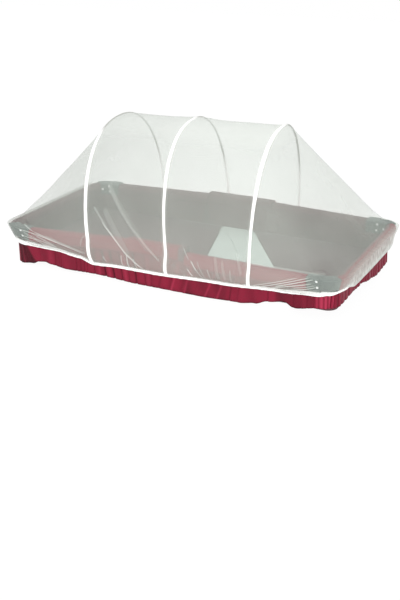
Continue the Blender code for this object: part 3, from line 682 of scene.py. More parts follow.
def weave_group():
    """Woven cloth: crossing threads from the piece's own UV map, and slow colour drift."""
    existing = bpy.data.node_groups.get("Woven cloth")
    if existing:
        return existing
    group, start, end = new_group(
        "Woven cloth",
        (
            ("Colour", "NodeSocketColor", (0.5, 0.5, 0.5, 1.0)),
            ("Thread pitch", "NodeSocketFloat", 0.0012),
            ("Drift", "NodeSocketFloat", 0.25),
            ("Roughness", "NodeSocketFloat", 0.7),
        ),
        (
            ("Colour", "NodeSocketColor"),
            ("Roughness", "NodeSocketFloat"),
            ("Height", "NodeSocketFloat"),
        ),
    )
    where = group.nodes.new("ShaderNodeTexCoord")
    split = group.nodes.new("ShaderNodeSeparateXYZ")
    group.links.new(where.outputs["UV"], split.inputs[0])
    pace = math_node(group, "DIVIDE", 2 * math.pi, start.outputs["Thread pitch"])
    warp, weft = (
        math_node(group, "SINE", math_node(group, "MULTIPLY", split.outputs[axis], pace)) for axis in (0, 1)
    )
    cross = math_node(group, "MULTIPLY", warp, weft)
    speck = noise_node(group, where, 420.0)
    shade = math_node(group, "ADD", 1.0, math_node(group, "MULTIPLY", cross, 0.06))
    drift = swing(group, noise_node(group, where, 14.0, 4.0), start.outputs["Drift"])
    shade = math_node(group, "ADD", shade, drift)
    shade = math_node(group, "ADD", shade, swing(group, speck, 0.16))
    rough = math_node(group, "ADD", start.outputs["Roughness"], math_node(group, "MULTIPLY", cross, 0.04))
    height = math_node(group, "ADD", cross, math_node(group, "MULTIPLY", speck, 0.8))
    group.links.new(scale_node(group, start.outputs["Colour"], shade), end.inputs["Colour"])
    group.links.new(rough, end.inputs["Roughness"])
    group.links.new(height, end.inputs["Height"])
    return group


def woven_material(name, tint, pitch, drift, roughness, relief, painted_glow=0.0, marks=()):
    """Woven cloth. marks are a piece's point values, each with the tint that it turns the cloth to.

    The glow is painted light: an emission of the cloth's tint that brightens the white cloth where it lies
    in shade.
    """
    existing = bpy.data.materials.get(name)
    if existing:
        return existing
    made, tree, shader = new_material(name)
    weave = place_group(
        tree, weave_group(), Colour=(*tint, 1.0), Thread_pitch=pitch, Drift=drift, Roughness=roughness
    )
    tint_out = weave.outputs["Colour"]
    for mark, mark_tint in marks:
        tint_out = mix_node(tree, mark_node(tree, mark), tint_out, (*mark_tint, 1.0))
    tree.links.new(tint_out, shader.inputs["Base Color"])
    tree.links.new(weave.outputs["Roughness"], shader.inputs["Roughness"])
    bump(tree, shader, weave.outputs["Height"], relief, 0.0006)
    shader.inputs["Specular IOR Level"].default_value = 0.15
    if painted_glow:
        tree.links.new(tint_out, shader.inputs["Emission Color"])
        shader.inputs["Emission Strength"].default_value = painted_glow
    return made


def net_material():
    """The sheer mesh: fine cells in its weight, heavier where it is creased or gathered."""
    existing = bpy.data.materials.get("Sheer net")
    if existing:
        return existing
    made, tree, shader = new_material("Sheer net")
    where = tree.nodes.new("ShaderNodeTexCoord")
    cells = tree.nodes.new("ShaderNodeTexVoronoi")
    cells.feature = "DISTANCE_TO_EDGE"
    cells.inputs["Scale"].default_value = 620.0
    cells.inputs["Randomness"].default_value = 0.25
    tree.links.new(where.outputs["UV"], cells.inputs["Vector"])
    thread = math_node(tree, "LESS_THAN", cells.outputs["Distance"], 0.16)
    creased = mark_node(tree, "crease")
    weight = math_node(tree, "ADD", math_node(tree, "MULTIPLY", thread, 0.10), sizes().net_weight - 0.05)
    weight = math_node(tree, "ADD", weight, swing(tree, noise_node(tree, where, 9.0, 5.0), 0.10))
    weight = math_node(tree, "ADD", weight, creased)
    limit = tree.nodes.new("ShaderNodeClamp")
    tree.links.new(weight, limit.inputs["Value"])
    limit.inputs["Max"].default_value = 0.97
    tree.links.new(limit.outputs[0], shader.inputs["Alpha"])
    split = tree.nodes.new("ShaderNodeSeparateXYZ")
    tree.links.new(where.outputs["Object"], split.inputs[0])
    # painted shade: the net's colour is darkened towards its left end
    dim = tree.nodes.new("ShaderNodeMapRange")
    for socket, value in zip(dim.inputs[1:5], (-0.48, 0.12, 0.80, 1.0)):
        socket.default_value = value
    tree.links.new(split.outputs[0], dim.inputs[0])
    plain = scale_node(tree, tuple(colours().net), dim.outputs[0])
    tree.links.new(mix_node(tree, creased, plain, (0.97, 0.97, 0.96, 1.0)), shader.inputs["Base Color"])
    shader.inputs["Roughness"].default_value = 0.85
    shader.inputs["Specular IOR Level"].default_value = 0.15
    return made


# ---- the net ----
BUNCHED = 0.03              # weight of the mesh over which it counts as creased or gathered


def crease_lift(along, up):
    """Height and weight of the creases at places along the front and heights over the rail.

    The mesh bunches up along a crease, and is drawn thin just below it.
    """
    lift = np.zeros_like(along)
    weight = np.zeros_like(along)
    thin = np.zeros_like(along)
    for start_x, start_up, end_x, end_up, height, half_width, extra in NET_CREASES:
        run = np.array((end_x - start_x, end_up - start_up))
        share = ((along - start_x) * run[0] + (up - start_up) * run[1]) / (run @ run)
        near = np.clip(share, 0.0, 1.0)
        off_x, off_up = along - start_x - run[0] * near, up - start_up - run[1] * near
        away = np.hypot(off_x, off_up)
        ends = smooth((share + 0.12) / 0.24) * smooth((1.12 - share) / 0.24)
        shape = np.exp(-((away / half_width) ** 2)) * ends
        flank = np.exp(-(((away - 2.1 * half_width) / half_width) ** 2)) * ends * (off_up < 0)
        lift += height * shape
        weight = np.maximum(weight, extra * shape)
        thin = np.maximum(thin, 0.30 * extra * flank)
    return lift, np.where(weight > BUNCHED, weight, -thin)


def net_clouds(points):
    """Extra weight of the mesh in its thick and thin places, along its top and towards its left end."""
    total = np.zeros(points.shape[:-1])
    for x, y, up, reach, extra in NET_CLOUDS:
        away = np.linalg.norm(points - np.array((x, y, RAIL_TOP + up)), axis=-1)
        total += extra * np.exp(-((away / reach) ** 2))
    total += 0.24 * smooth((points[..., 2] - RAIL_TOP - 0.310) / 0.055)
    return total + 0.03 * smooth((0.1 - points[..., 0]) / 0.6)


def net_softness(points, size):
    """Slow unevenness of hung net at each point, in metres."""
    flat = points.reshape(-1, 3)
    broad, fine = (np.array([noise.noise(Vector(point) * pace) for point in flat]) for pace in (7.0, 19.0))
    return (broad * 0.7 + fine * 0.3).reshape(points.shape[:-1]) * size


def arch_angles():
    """Angles over the arch, close together on the front's lower half, where the net is creased."""
    angles = np.linspace(0.0, math.pi, 3000)
    line = hoop_arch("middle", angles)
    step = np.linalg.norm(np.diff(line, axis=0), axis=1)
    height = line[1:, 2] - RAIL_TOP
    creased = smooth((CREASED_RISE - height) / 0.05) * (line[1:, 1] < 0)
    rows = running(step / (COARSE_STEP + (FINE_STEP - COARSE_STEP) * creased))
    return np.interp(np.linspace(0.0, rows[-1], int(rows[-1]) + 1), rows, angles)


def drop_rows(places, count, leans=0.0):
    """Rows of points from the hem up to just under the rail's top, at places on the outline.

    leans are how far each place moves along the outline on the way down to the hem.
    """
    rows, weights, outs = [], [], []
    for step in range(count):
        share = step / count
        here = np.asarray(places) + np.asarray(leans) * (1 - share)
        base, outward = outline_points(here)
        inset, height = tuck(here, share)
        wave = gather_wave(here)
        near_hem = math.exp(-((share / 0.34) ** 2))
        point = base - outward * (inset - sizes().gather * wave * near_hem)[:, None]
        point[:, 2] = height
        rows.append(point)
        outs.append(outward)
        bunched = 0.24 * np.clip(wave, 0.0, 1.0) ** 2 * math.exp(-((share / 0.26) ** 2))
        weights.append(bunched + 0.22 * math.exp(-((share / 0.10) ** 2)))
    return np.array(rows), np.array(weights), np.array(outs)


def creased(grid, outward, weight, along, shown=1.0):
    """A net's grid with its creases raised, and the weight of its mesh with theirs."""
    lift, extra = crease_lift(along, grid[..., 2] - RAIL_TOP)
    lift, extra = lift * shown, extra * shown
    weight = np.where(weight > BUNCHED, np.maximum(weight, extra), weight + extra)
    return grid + outward * lift[..., None], weight


def add_net(name, grid, weight):
    """Add a sheer sheet that carries the weight of its mesh at each point."""
    marks = {"crease": weight + net_clouds(grid)}
    piece = add_cloth(f"sheer_{name}", grid, net_material(), marks=marks)
    finish_piece(piece, "net", name)
    return piece


def build_panel(name, left, right):
    """Hang a tunnel panel between two hoops, from the front hem over the arch to the back hem."""
    angles = arch_angles()
    across = np.linspace(0.0, 1.0, PANEL_COLUMNS + 1)
    under = sizes().tape_width * SEAM_SHARE
    start = hoop_arch(left, angles) + np.array((under, 0, 0))
    end = hoop_arch(right, angles) - np.array((under, 0, 0))
    arch = start[:, None, :] * (1 - across)[None, :, None] + end[:, None, :] * across[None, :, None]
    slack = 4 * across * (1 - across)
    rise = np.sin(angles)
    inward = np.stack([np.zeros(arch.shape[:2]), -arch[..., 1], RAIL_TOP - arch[..., 2]], axis=-1)
    inward /= np.linalg.norm(inward, axis=-1, keepdims=True)
    arch = arch + inward * (sizes().net_sag * rise[:, None] * slack[None, :])[..., None]
    edge = np.minimum(1.0, 6 * slack)
    arch = arch + inward * (net_softness(arch, 0.0035) * edge * rise[:, None] ** 0.5)[..., None]
    parts, weights, outs = [], [], []
    for side, row in (("front", 0), ("back", -1)):
        places = np.array([outline_place(side, x) for x in arch[row, :, 0]])
        leans = foot_lean(left, side, 0) * (1 - across) + foot_lean(right, side, 0) * across
        rows, weight, outward = drop_rows(places, DROP_ROWS, leans)
        parts.append(rows)
        weights.append(weight)
        outs.append(outward)
    grid = np.concatenate([parts[0], arch, parts[1][::-1]])
    weight = np.concatenate([weights[0], np.zeros(arch.shape[:2]), weights[1][::-1]])
    outward = np.concatenate([outs[0], -inward, outs[1][::-1]])
    shown = (grid[..., 1] < 0) * np.minimum(1.0, 8 * slack)[None, :]
    grid, weight = creased(grid, outward, weight, grid[..., 0], shown)
    seam = np.exp(-((np.minimum(across, 1 - across) * 0.28 / 0.007) ** 2))
    piece = add_net(name, grid, np.maximum(weight, 0.10 * seam[None, :]))


def build_gore(name, hoop, end, sag):
    """Hang a gore: a fan from an end hoop to the rail's end, and the drop round it to the hem."""
    front_x, back_x = row_of(HOOPS, hoop)[:2]
    under = sizes().tape_width * SEAM_SHARE
    start = abs(front_x + end * under)
    finish = 2 * SIDE_PITCH - abs(back_x + end * under)
    corner, opposite = STRAIGHT_X, 2 * SIDE_PITCH
    stops = (start, corner, corner + QUARTER, opposite - corner - QUARTER, opposite - corner, finish)
    reach = np.linspace(start, finish, GORE_COLUMNS + 1)
    shares = np.interp(reach, stops, GORE_SHARES)
    # the shares turn softly from one stop to the next
    window = 2 * SHARE_SOFTNESS + 1
    before, after = shares[SHARE_SOFTNESS:0:-1], shares[-2:-SHARE_SOFTNESS - 2:-1]
    padded = np.concatenate([2 * shares[0] - before, shares, 2 * shares[-1] - after])
    shares = np.clip(np.convolve(padded, np.ones(window) / window, mode="valid"), 0.0, 1.0)
    places = (end * reach) % PERIMETER
    top = hoop_arch(hoop, shares * math.pi) + np.array((end * under, 0, 0))
    base, outward = outline_points(places)
    laid = smooth((np.minimum(reach - start, finish - reach) - corner + start + 0.010) / (QUARTER + 0.010))
    edge = base + outward * NET_PROUD
    edge[:, 2] = RAIL_TOP
    rim = base + outward * (NET_PROUD * (1 - laid) - RAIL_LAY * laid)[:, None]
    rim[:, 2] = RAIL_TOP + NET_OVER * laid
    down = 1 - np.linspace(0.0, 1.0, GORE_ROWS + 1)[:-1] ** 1.5
    # about a third of the sag is even, and the rest is deepest near the rail
    belly = 0.35 * 4 * down * (1 - down) + 0.65 * 12.2 * down**4 * (1 - down)
    slack = belly[:, None] * np.sin(math.pi * shares)[None, :]
    fan = top[None] * (1 - down)[:, None, None] + rim[None] * down[:, None, None]
    fall = np.array((-end, 0, -1)) / math.sqrt(2)
    fan = fan + fall * (sag * slack)[..., None]
    fan = fan + fall * (net_softness(fan, 0.004) * np.minimum(1.0, 3 * slack))[..., None]
    fan = np.concatenate([fan, top[None]])
    leans = end * foot_lean(hoop, "front", 0) * np.clip(1 - (reach - start) / 0.12, 0.0, 1.0)
    low, low_weight, low_out = drop_rows(places, DROP_ROWS, leans * end)
    over = np.array([edge + (rim - edge) * step / OVER_ROWS for step in range(OVER_ROWS)])
    grid = np.concatenate([low, over, fan])
    slope = np.broadcast_to(-fall, fan.shape)
    out = np.concatenate([low_out, np.broadcast_to(np.array((0.0, 0.0, 1.0)), over.shape), slope])
    run = np.broadcast_to(front_run(places)[None, :], grid.shape[:2])
    bunched = froth(places, end)
    weight = np.concatenate([low_weight + bunched[:DROP_ROWS], bunched[DROP_ROWS:], np.zeros(fan.shape[:2])])
    piece = add_net(name, *creased(grid, out, weight, run))


def froth(places, end):
    """Weight of the mesh where the elastic bunches it up round the playpen's ends.

    The last OVER_ROWS rows lie over the rail's top.
    """
    middle = SIDES.index("right" if end > 0 else "left") * SIDE_PITCH
    beyond = np.abs(shortest(places - middle))
    round_end = smooth((STRAIGHT_Y + QUARTER * 0.62 - beyond) / 0.10)
    rows = []
    for step in range(DROP_ROWS + OVER_ROWS):
        share = step / DROP_ROWS
        ruffle = ripple(places, 190, share * 6, 1)
        if step < DROP_ROWS:
            rows.append(round_end * (0.20 + 0.26 * (1 - share) + 0.28 * ruffle))
        else:
            inward = (step - DROP_ROWS) / OVER_ROWS
            rows.append(round_end * max(0.0, end) * (0.20 + 0.28 * ruffle) * (1 - inward) ** 1.6)
    return np.array(rows)


class PLAYPEN_OT_tunnel_net(bpy.types.Operator):
    """Hang the two sheer tunnel panels between the hoops."""
    bl_idname = "playpen.tunnel_net"
    bl_label = "Tunnel net"

    def execute(self, context):
        for name, left, right in PANELS:
            build_panel(name, left, right)
        return {"FINISHED"}


class PLAYPEN_OT_end_net(bpy.types.Operator):
    """Hang the sheer gores that slope from the end hoops round the rail's ends."""
    bl_idname = "playpen.end_net"
    bl_label = "End gores"

    def execute(self, context):
        for name, hoop, end, sag in GORES:
            build_gore(name, hoop, end, sag)
        return {"FINISHED"}


def build_sleeve(name):
    """Run a tape over a hoop, narrower where it turns edge-on."""
    arch_rows, foot_rows = 130, 14
    line = hoop_line(name, arch_rows, foot_rows)
    *shares, turned = row_of(TAPES, name)[1:]
    stops = (0, foot_rows * 1.6, *(foot_rows + arch_rows * share for share in TAPE_STOPS))
    widths = np.interp(np.arange(len(line)), stops, shares)
    ahead = np.roll(line, -1, axis=0) - np.roll(line, 1, axis=0)
    ahead[0], ahead[-1] = line[1] - line[0], line[-1] - line[-2]
    ahead /= np.linalg.norm(ahead, axis=1, keepdims=True)
    across = np.array((1.0, 0, 0)) - ahead * ahead[:, :1]
    across /= np.linalg.norm(across, axis=1, keepdims=True)
    out = np.cross(across, ahead)
    # the tape wavers and puckers, and its width varies by a few hundredths, along its way
    rings = []
    for index, middle in enumerate(line):
        wide = sizes().tape_width / 2 * widths[index]
        puff = sizes().tape_puff * (0.5 + 0.5 * widths[index])
        waver = noise.noise(Vector((middle[1] * 30, middle[2] * 30, middle[0] * 9))) * 0.0006
        pucker = 1 + 0.10 * noise.noise(Vector(middle) * 85)
        ring = []
        for share, lift in TAPE_SECTION:
            edge = wide * (1 + 0.05 * noise.noise(Vector(middle) * 70 + Vector((share, 0, 5)))) * share
            ring.append(middle + across[index] * (edge + waver) + out[index] * lift * puff * pucker)
        rings.append(ring)
    shaded = smooth((line[:, 1] - turned) / 0.07) * smooth((line[:, 2] - RAIL_TOP - 0.10) / 0.10)
    marks = {"shaded": np.tile(shaded[:, None], (1, len(TAPE_SECTION)))}
    piece = add_tube(f"tape_{name}", np.array(rings), tape_material(), marks=marks)
    finish_piece(piece, "tape", f"sleeve_{name}")


def tape_material():
    # The glow is painted light that brightens the tape in shade, and the shaded mark paints shade on its
    # back arcs.
    return woven_material("White tape", colours().tape, 0.0011, 0.04, 0.75, 0.25, painted_glow=0.14,
                          marks=(("shaded", (0.47, 0.48, 0.45)),))


class PLAYPEN_OT_sleeves(bpy.types.Operator):
    """Sew the white tape sleeves over the three springy hoops."""
    bl_idname = "playpen.sleeves"
    bl_label = "Hoop sleeves"

    def execute(self, context):
        for name, *_ in HOOPS:
            build_sleeve(name)
        return {"FINISHED"}


class PLAYPEN_OT_hem(bpy.types.Operator):
    """Gather the elastic hem all round under the rail."""
    bl_idname = "playpen.hem"
    bl_label = "Elastic hem"

    def execute(self, context):
        count = 1400
        places = np.linspace(0.0, PERIMETER, count, endpoint=False)
        base, outward = outline_points(places)
        lows = hem_low(places)
        wave = gather_wave(places)
        ragged = ripple(places, 60, 0, 3)
        corners = [outline_place("front", x) for x in (-STRAIGHT_X, STRAIGHT_X)]
        away = np.min([np.abs(shortest(places - at)) for at in corners], axis=0)
        tall = HEM_HEIGHT * (1 + 0.45 * np.exp(-((away / 0.075) ** 2)))
        rows = []
        for share in np.linspace(0.0, 1.0, 7):
            swell = 0.0011 * math.sin(math.pi * share) + sizes().gather * 0.7 * wave * (0.35 + 0.65 * share)
            point = base - outward * (HEM_INSET - 0.0006 - swell)[:, None]
            point[:, 2] = lows + tall * share + 0.0011 * ragged * (1 if share in (0.0, 1.0) else 0.4)
            rows.append(point)
        hem = add_cloth("elastic_hem", np.array(rows), hem_material(), wrap=True, thickness=0.0022)
        finish_piece(hem, "hem", "hem_elastic")
        return {"FINISHED"}


def hem_material():
    # The glow is painted light that brightens the hem where it lies in shade under the rail.
    return woven_material("White elastic", colours().tape, 0.0014, 0.05, 0.8, 0.35, painted_glow=0.18)


# ---- the playpen's rails ----
def rounded_section(width, height, top_radius, bottom_radius, steps):
    """Section of a rail as (outward, up) pairs from its outer face, counterclockwise."""
    corners = (
        (width / 2 - top_radius, -top_radius, top_radius, 0),
        (-width / 2 + top_radius, -top_radius, top_radius, 90),
        (-width / 2 + bottom_radius, -height + bottom_radius, bottom_radius, 180),
        (width / 2 - bottom_radius, -height + bottom_radius, bottom_radius, 270),
    )
    section = []
    for across, up, radius, start in corners:
        for step in range(steps + 1):
            turn = math.radians(start + 90 * step / steps)
            section.append((across + radius * math.cos(turn), up + radius * math.sin(turn)))
    return section


def padded_rings(places, section, rises, plump):
    """Rings of a padded rail, a little creased, at places on the outline."""
    base, outward = outline_points(places)
    taper = BRACKET_TAPER * corner_share(places)
    rings = []
    for index, place in enumerate(places):
        middle = base[index] - outward[index] * RAIL_WIDTH / 2
        ring = []
        for across, up in section:
            here = Vector((place * 34, across * 40, up * 40))
            swell = 1 + plump * (noise.noise(here) - 0.4) + plump * 0.6 * noise.noise(here * 2.7)
            lean = taper[index] * -up / RAIL_HEIGHT if across > 0 else 0.0
            point = middle + outward[index] * (across * swell - lean)
            point[2] = RAIL_TOP + rises[index] - RAIL_HEIGHT / 2 + (up + RAIL_HEIGHT / 2) * swell
            ring.append(point)
        rings.append(ring)
    return np.array(rings)


def inner_mark(name, rings, section):
    """1 on the inner side of the cover, where its lining shows, 0 on its maroon outer side.

    The maroon reaches farther in on the front and right rails than on the back and left ones.
    """
    limit = -0.008 if "front" in name or "right" in name.split("_")[1] else 0.013
    row = [1.0 if across < limit or up < -0.030 and across < 0.010 else 0.0 for across, up in section]
    marks = np.tile(row, (rings.shape[0], 1))
    if name == "latch_cover_front":
        marks[-6:] = np.maximum(marks[-6:], 0.9)
    return marks


def rail_material():
    return woven_material("Maroon rail cover", colours().maroon, 0.0011, 0.18, 0.55, 0.3,
                          marks=(("inner", tuple(colours().wall)),))


def build_rail(name, places, rises, section, plump):
    """Pad a rail or a latch cover along places on the outline."""
    rings = padded_rings(places, section, rises, plump)
    marks = {"inner": inner_mark(name, rings, section)}
    piece = add_tube(f"cover_{name}", rings, rail_material(), marks=marks)
    finish_piece(piece, "padding", name)


class PLAYPEN_OT_rails(bpy.types.Operator):
    """Pad the playpen's rails and the covers over their latches."""
    bl_idname = "playpen.rails"
    bl_label = "Padded rails"

    def execute(self, context):
        section = rounded_section(RAIL_WIDTH, RAIL_HEIGHT, RAIL_TOP_RADIUS, RAIL_BOTTOM_RADIUS, 7)
        reach = STRAIGHT_Y + QUARTER - BRACKET_ARC - PIECE_GAP
        for name, side in (("rail_right", "right"), ("rail_left", "left")):
            places = SIDES.index(side) * SIDE_PITCH + np.linspace(-reach, reach, 110)
            build_rail(name, places, np.zeros(110), section, 0.035)
        for name, side, end, latch_x, rise in SIDE_RAILS:
            share = np.linspace(0.0, 1.0, 90)
            start = end * (BRACKET_END_X - PIECE_GAP / 2)
            stop = latch_x + end * PIECE_GAP / 2
            places = [outline_place(side, x) for x in start + (stop - start) * share]
            build_rail(name, places, rise * share, section, 0.035)
        tall = RAIL_HEIGHT + LATCH_GROWTH
        section = rounded_section(RAIL_WIDTH, tall, LATCH_TOP_RADIUS, RAIL_BOTTOM_RADIUS, 7)
        for name, side, left_rise, right_rise in LATCH_COVERS:
            ends = sorted(row[3] for row in SIDE_RAILS if row[1] == side)
            share = np.linspace(0.0, 1.0, 60)
            places = [outline_place(side, x) for x in ends[0] + (ends[1] - ends[0]) * share]
            build_rail(name, places, left_rise + (right_rise - left_rise) * share, section, 0.045)
        return {"FINISHED"}


# ---- plastic ----
def plastic_material():
    existing = bpy.data.materials.get("Grey plastic")
    if existing:
        return existing
    made, tree, shader = new_material("Grey plastic")
    where = tree.nodes.new("ShaderNodeTexCoord")
    cloud = noise_node(tree, where, 30.0)
    dark, light = ((*(share * c for c in colours().plastic), 1.0) for share in (0.85, 1.15))
    tree.links.new(mix_node(tree, cloud, dark, light), shader.inputs["Base Color"])
    rough = math_node(tree, "ADD", 0.38, math_node(tree, "MULTIPLY", cloud, 0.14))
    tree.links.new(rough, shader.inputs["Roughness"])
    bump(tree, shader, noise_node(tree, where, 900.0, 3.0), 0.15, 0.0003)
    return made


def rivet_material():
    existing = bpy.data.materials.get("White rivet")
    if existing:
        return existing
    made, tree, shader = new_material("White rivet")
    cloud = noise_node(tree, tree.nodes.new("ShaderNodeTexCoord"), 200.0)
    rough = math_node(tree, "ADD", 0.25, math_node(tree, "MULTIPLY", cloud, 0.2))
    tree.links.new(rough, shader.inputs["Roughness"])
    shader.inputs["Base Color"].default_value = (*colours().rivet, 1.0)
    return made


def pick(work, test):
    """Select the faces, edges or corners of an edit mesh that pass a test, and nothing else."""
    for group in (work.verts, work.edges, work.faces):
        for item in group:
            item.select_set(False)
    for item in [item for group in (work.verts, work.edges, work.faces) for item in group if test(item)]:
        item.select_set(True)


def edit_pick(piece, test):
    """Select what passes a test in the mesh that is being edited."""
    work = bmesh.from_edit_mesh(piece.data)
    pick(work, test)
    work.select_flush_mode()
    bmesh.update_edit_mesh(piece.data)


def only(kind, test):
    """A test that only vertices, edges or faces, whichever kind is named, can pass."""
    return lambda item: isinstance(item, kind) and test(item)


def shape_bracket(context):
    """Model the front right bracket: its leaning section, run along the arm and round the corner."""
    nothing_selected()
    bpy.ops.mesh.primitive_plane_add(size=1.0, location=(0.0, 0.0, 0.0))
    piece = context.active_object
    bpy.ops.object.mode_set(mode="EDIT")
    bpy.ops.mesh.select_mode(type="VERT")
    bpy.ops.mesh.select_all(action="SELECT")
    bpy.ops.transform.resize(value=(RAIL_HEIGHT, RAIL_WIDTH, 1.0))
    turn_piece(math.pi / 2, "Y")
    middle_y = -HALF_WIDTH + RAIL_WIDTH / 2
    bpy.ops.transform.translate(value=(BRACKET_END_X, middle_y, RAIL_TOP - RAIL_HEIGHT / 2))
    low = RAIL_TOP - RAIL_HEIGHT / 2
    vert = bmesh.types.BMVert
    edit_pick(piece, only(vert, lambda v: v.co.z < low and v.co.y < middle_y))
    bpy.ops.transform.translate(value=(0.0, BRACKET_TAPER, 0.0))
    edit_pick(piece, only(vert, lambda v: v.co.z > low))
    bpy.ops.mesh.bevel(offset=BRACKET_TOP_RADIUS, segments=4, affect="VERTICES")
    edit_pick(piece, only(vert, lambda v: v.co.z < low))
    bpy.ops.mesh.bevel(offset=BRACKET_BOTTOM_RADIUS, segments=4, affect="VERTICES")
    bpy.ops.mesh.select_all(action="SELECT")
    bpy.ops.mesh.extrude_region_move(TRANSFORM_OT_translate={"value": (BRACKET_ARM, 0.0, 0.0)})
    corner = (STRAIGHT_X, -STRAIGHT_Y, 0.0)
    bpy.ops.mesh.spin(steps=10, angle=-BRACKET_TURN, center=corner, axis=(0.0, 0.0, 1.0))
    bpy.ops.mesh.select_all(action="SELECT")
    bpy.ops.mesh.remove_doubles(threshold=0.00001)
    bpy.ops.mesh.normals_make_consistent(inside=False)
    bpy.ops.mesh.select_mode(type="FACE")
    face = bmesh.types.BMFace

    def outer(item):
        middle = item.calc_center_median()
        centre = Vector((min(middle.x, STRAIGHT_X), -STRAIGHT_Y, middle.z))
        away = (middle - centre).normalized()
        return item.normal.dot(away) > 0.85 and item.calc_area() > 0.00005

    for panel in (
        lambda item: outer(item) and item.calc_center_median().x < STRAIGHT_X,
        lambda item: outer(item) and item.calc_center_median().x > STRAIGHT_X,
    ):
        edit_pick(piece, only(face, panel))
        bpy.ops.mesh.inset(thickness=0.0030, depth=0.0, use_boundary=True)
        bpy.ops.mesh.inset(thickness=0.0008, depth=-0.0010, use_boundary=True)
    bpy.ops.mesh.select_mode(type="EDGE")
    edge = bmesh.types.BMEdge
    # the two ends are its only faces with many corners
    edit_pick(piece, only(
        edge, lambda e: len(e.link_faces) == 2 and any(len(f.verts) > 8 for f in e.link_faces)
    ))
    bpy.ops.mesh.bevel(offset=0.0012, segments=2, affect="EDGES")
    bpy.ops.object.mode_set(mode="OBJECT")
    piece.data.shade_smooth()
    piece.data.set_sharp_from_angle(angle=math.radians(38))
    return piece


def mirrored(context, piece, flip):
    """A copy of a piece, with a mesh of its own, mirrored across the planes of flip."""
    nothing_selected()
    piece.select_set(True)
    context.view_layer.objects.active = piece
    bpy.ops.object.duplicate()
    copy = context.active_object
    bpy.ops.transform.resize(value=flip, center_override=(0.0, 0.0, 0.0))
    settle()
    bpy.ops.object.mode_set(mode="EDIT")
    bpy.ops.mesh.select_all(action="SELECT")
    bpy.ops.mesh.normals_make_consistent(inside=False)
    bpy.ops.object.mode_set(mode="OBJECT")
    return copy


class PLAYPEN_OT_brackets(bpy.types.Operator):
    """Mould the grey corner brackets, one modelled and three mirrored from it."""
    bl_idname = "playpen.brackets"
    bl_label = "Corner brackets"

    def execute(self, context):
        first = shape_bracket(context)
        first.data.materials.append(plastic_material())
        copies = (
            ("front_left", (-1.0, 1.0, 1.0)),
            ("back_right", (1.0, -1.0, 1.0)),
            ("back_left", (-1.0, -1.0, 1.0)),
        )
        pieces = [("front_right", first)]
        pieces += [(corner, mirrored(context, first, flip)) for corner, flip in copies]
        for corner, piece in pieces:
            piece.name = f"moulded_bracket_{corner}"
            finish_piece(piece, "plastic", f"bracket_{corner}")
        nothing_selected()
        return {"FINISHED"}


def shape_rivet(context):
    """Model one rivet head, that faces along -Y: a domed disc with a dished middle."""
    nothing_selected()
    bpy.ops.mesh.primitive_cylinder_add(
        vertices=20, radius=RIVET_RADIUS, depth=RIVET_HEIGHT, location=(0.0, 0.0, 0.0)
    )
    piece = context.active_object
    bpy.ops.object.mode_set(mode="EDIT")
    bpy.ops.mesh.select_mode(type="FACE")
    face = bmesh.types.BMFace
    edit_pick(piece, only(face, lambda f: len(f.verts) > 8 and f.normal.z > 0))
    bpy.ops.mesh.inset(thickness=0.0006, depth=0.0004)
    bpy.ops.mesh.inset(thickness=0.0010, depth=0.0002)
    bpy.ops.mesh.inset(thickness=0.0006, depth=-0.0004)
    bpy.ops.mesh.inset(thickness=0.0006, depth=-0.0001)
    bpy.ops.mesh.select_all(action="SELECT")
    turn_piece(math.pi / 2, "X")
    bpy.ops.object.mode_set(mode="OBJECT")
    if sum(vertex.co.y for vertex in piece.data.vertices) > 0:
        turn_piece(math.pi, "Z")
        settle()
    piece.data.shade_smooth()
    return piece


class PLAYPEN_OT_rivets(bpy.types.Operator):
    """Set the white rivets in the brackets, one modelled and copied to every place."""
    bl_idname = "playpen.rivets"
    bl_label = "Rivets"

    def execute(self, context):
        first = shape_rivet(context)
        first.data.materials.append(rivet_material())
        lean = math.atan2(BRACKET_TAPER, RAIL_HEIGHT)
        for name in sorted(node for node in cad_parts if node.startswith("rivet_")):
            low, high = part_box(name)
            x, y, z = ((low[axis] + high[axis]) / 2 for axis in range(3))
            side = 1 if y > 0 else -1
            outside = abs(y) > HALF_WIDTH - RAIL_WIDTH / 2
            nothing_selected()
            first.select_set(True)
            context.view_layer.objects.active = first
            bpy.ops.object.duplicate()
            piece = context.active_object
            piece.name = f"head_{name}"
            if outside:
                depth = RAIL_TOP - z
                y = side * (HALF_WIDTH - BRACKET_TAPER * depth / RAIL_HEIGHT - RIVET_PROUD)
                turn_piece(-lean, "X")
            else:
                y = side * (HALF_WIDTH - RAIL_WIDTH - RIVET_PROUD)
            if (side > 0) == outside:
                turn_piece(math.pi, "Z")
            if name.endswith("_5"):
                # the last inner one sits on the bracket's bend
                end = 1 if x > 0 else -1
                inner = CORNER_RADIUS - RAIL_WIDTH - RIVET_PROUD
                x = end * (STRAIGHT_X + inner * math.sin(RIVET_BEND))
                y = side * (STRAIGHT_Y + inner * math.cos(RIVET_BEND))
                turn_piece(end * side * RIVET_BEND, "Z")
            bpy.ops.transform.translate(value=(x, y, z))
            settle()
            finish_piece(piece, "rivet", name)
        bpy.data.objects.remove(first, do_unlink=True)
        nothing_selected()
        return {"FINISHED"}


# ---- cloth round the playpen ----
def rail_rise(side, x):
    """Height that a long side's rail gains at x over its height at the brackets."""
    left, right = [row for row in SIDE_RAILS if row[1] == side]
    if left[3] < x < right[3]:
        cover = next(row for row in LATCH_COVERS if row[1] == side)
        share = (x - left[3]) / (right[3] - left[3])
        return cover[2] + (cover[3] - cover[2]) * share
    half = left if x <= left[3] else right
    end_x = half[2] * BRACKET_END_X
    return half[4] * max(0.0, (x - end_x) / (half[3] - end_x))


def cloth_tops(side, places, depth):
    """Heights of the top edge of cloth that hangs under a side's rails."""
    base, _ = outline_points(places)
    rises = [rail_rise(side, x) if side in ("front", "back") else 0.0 for x in base[:, 0]]
    return RAIL_TOP - depth + np.array(rises)


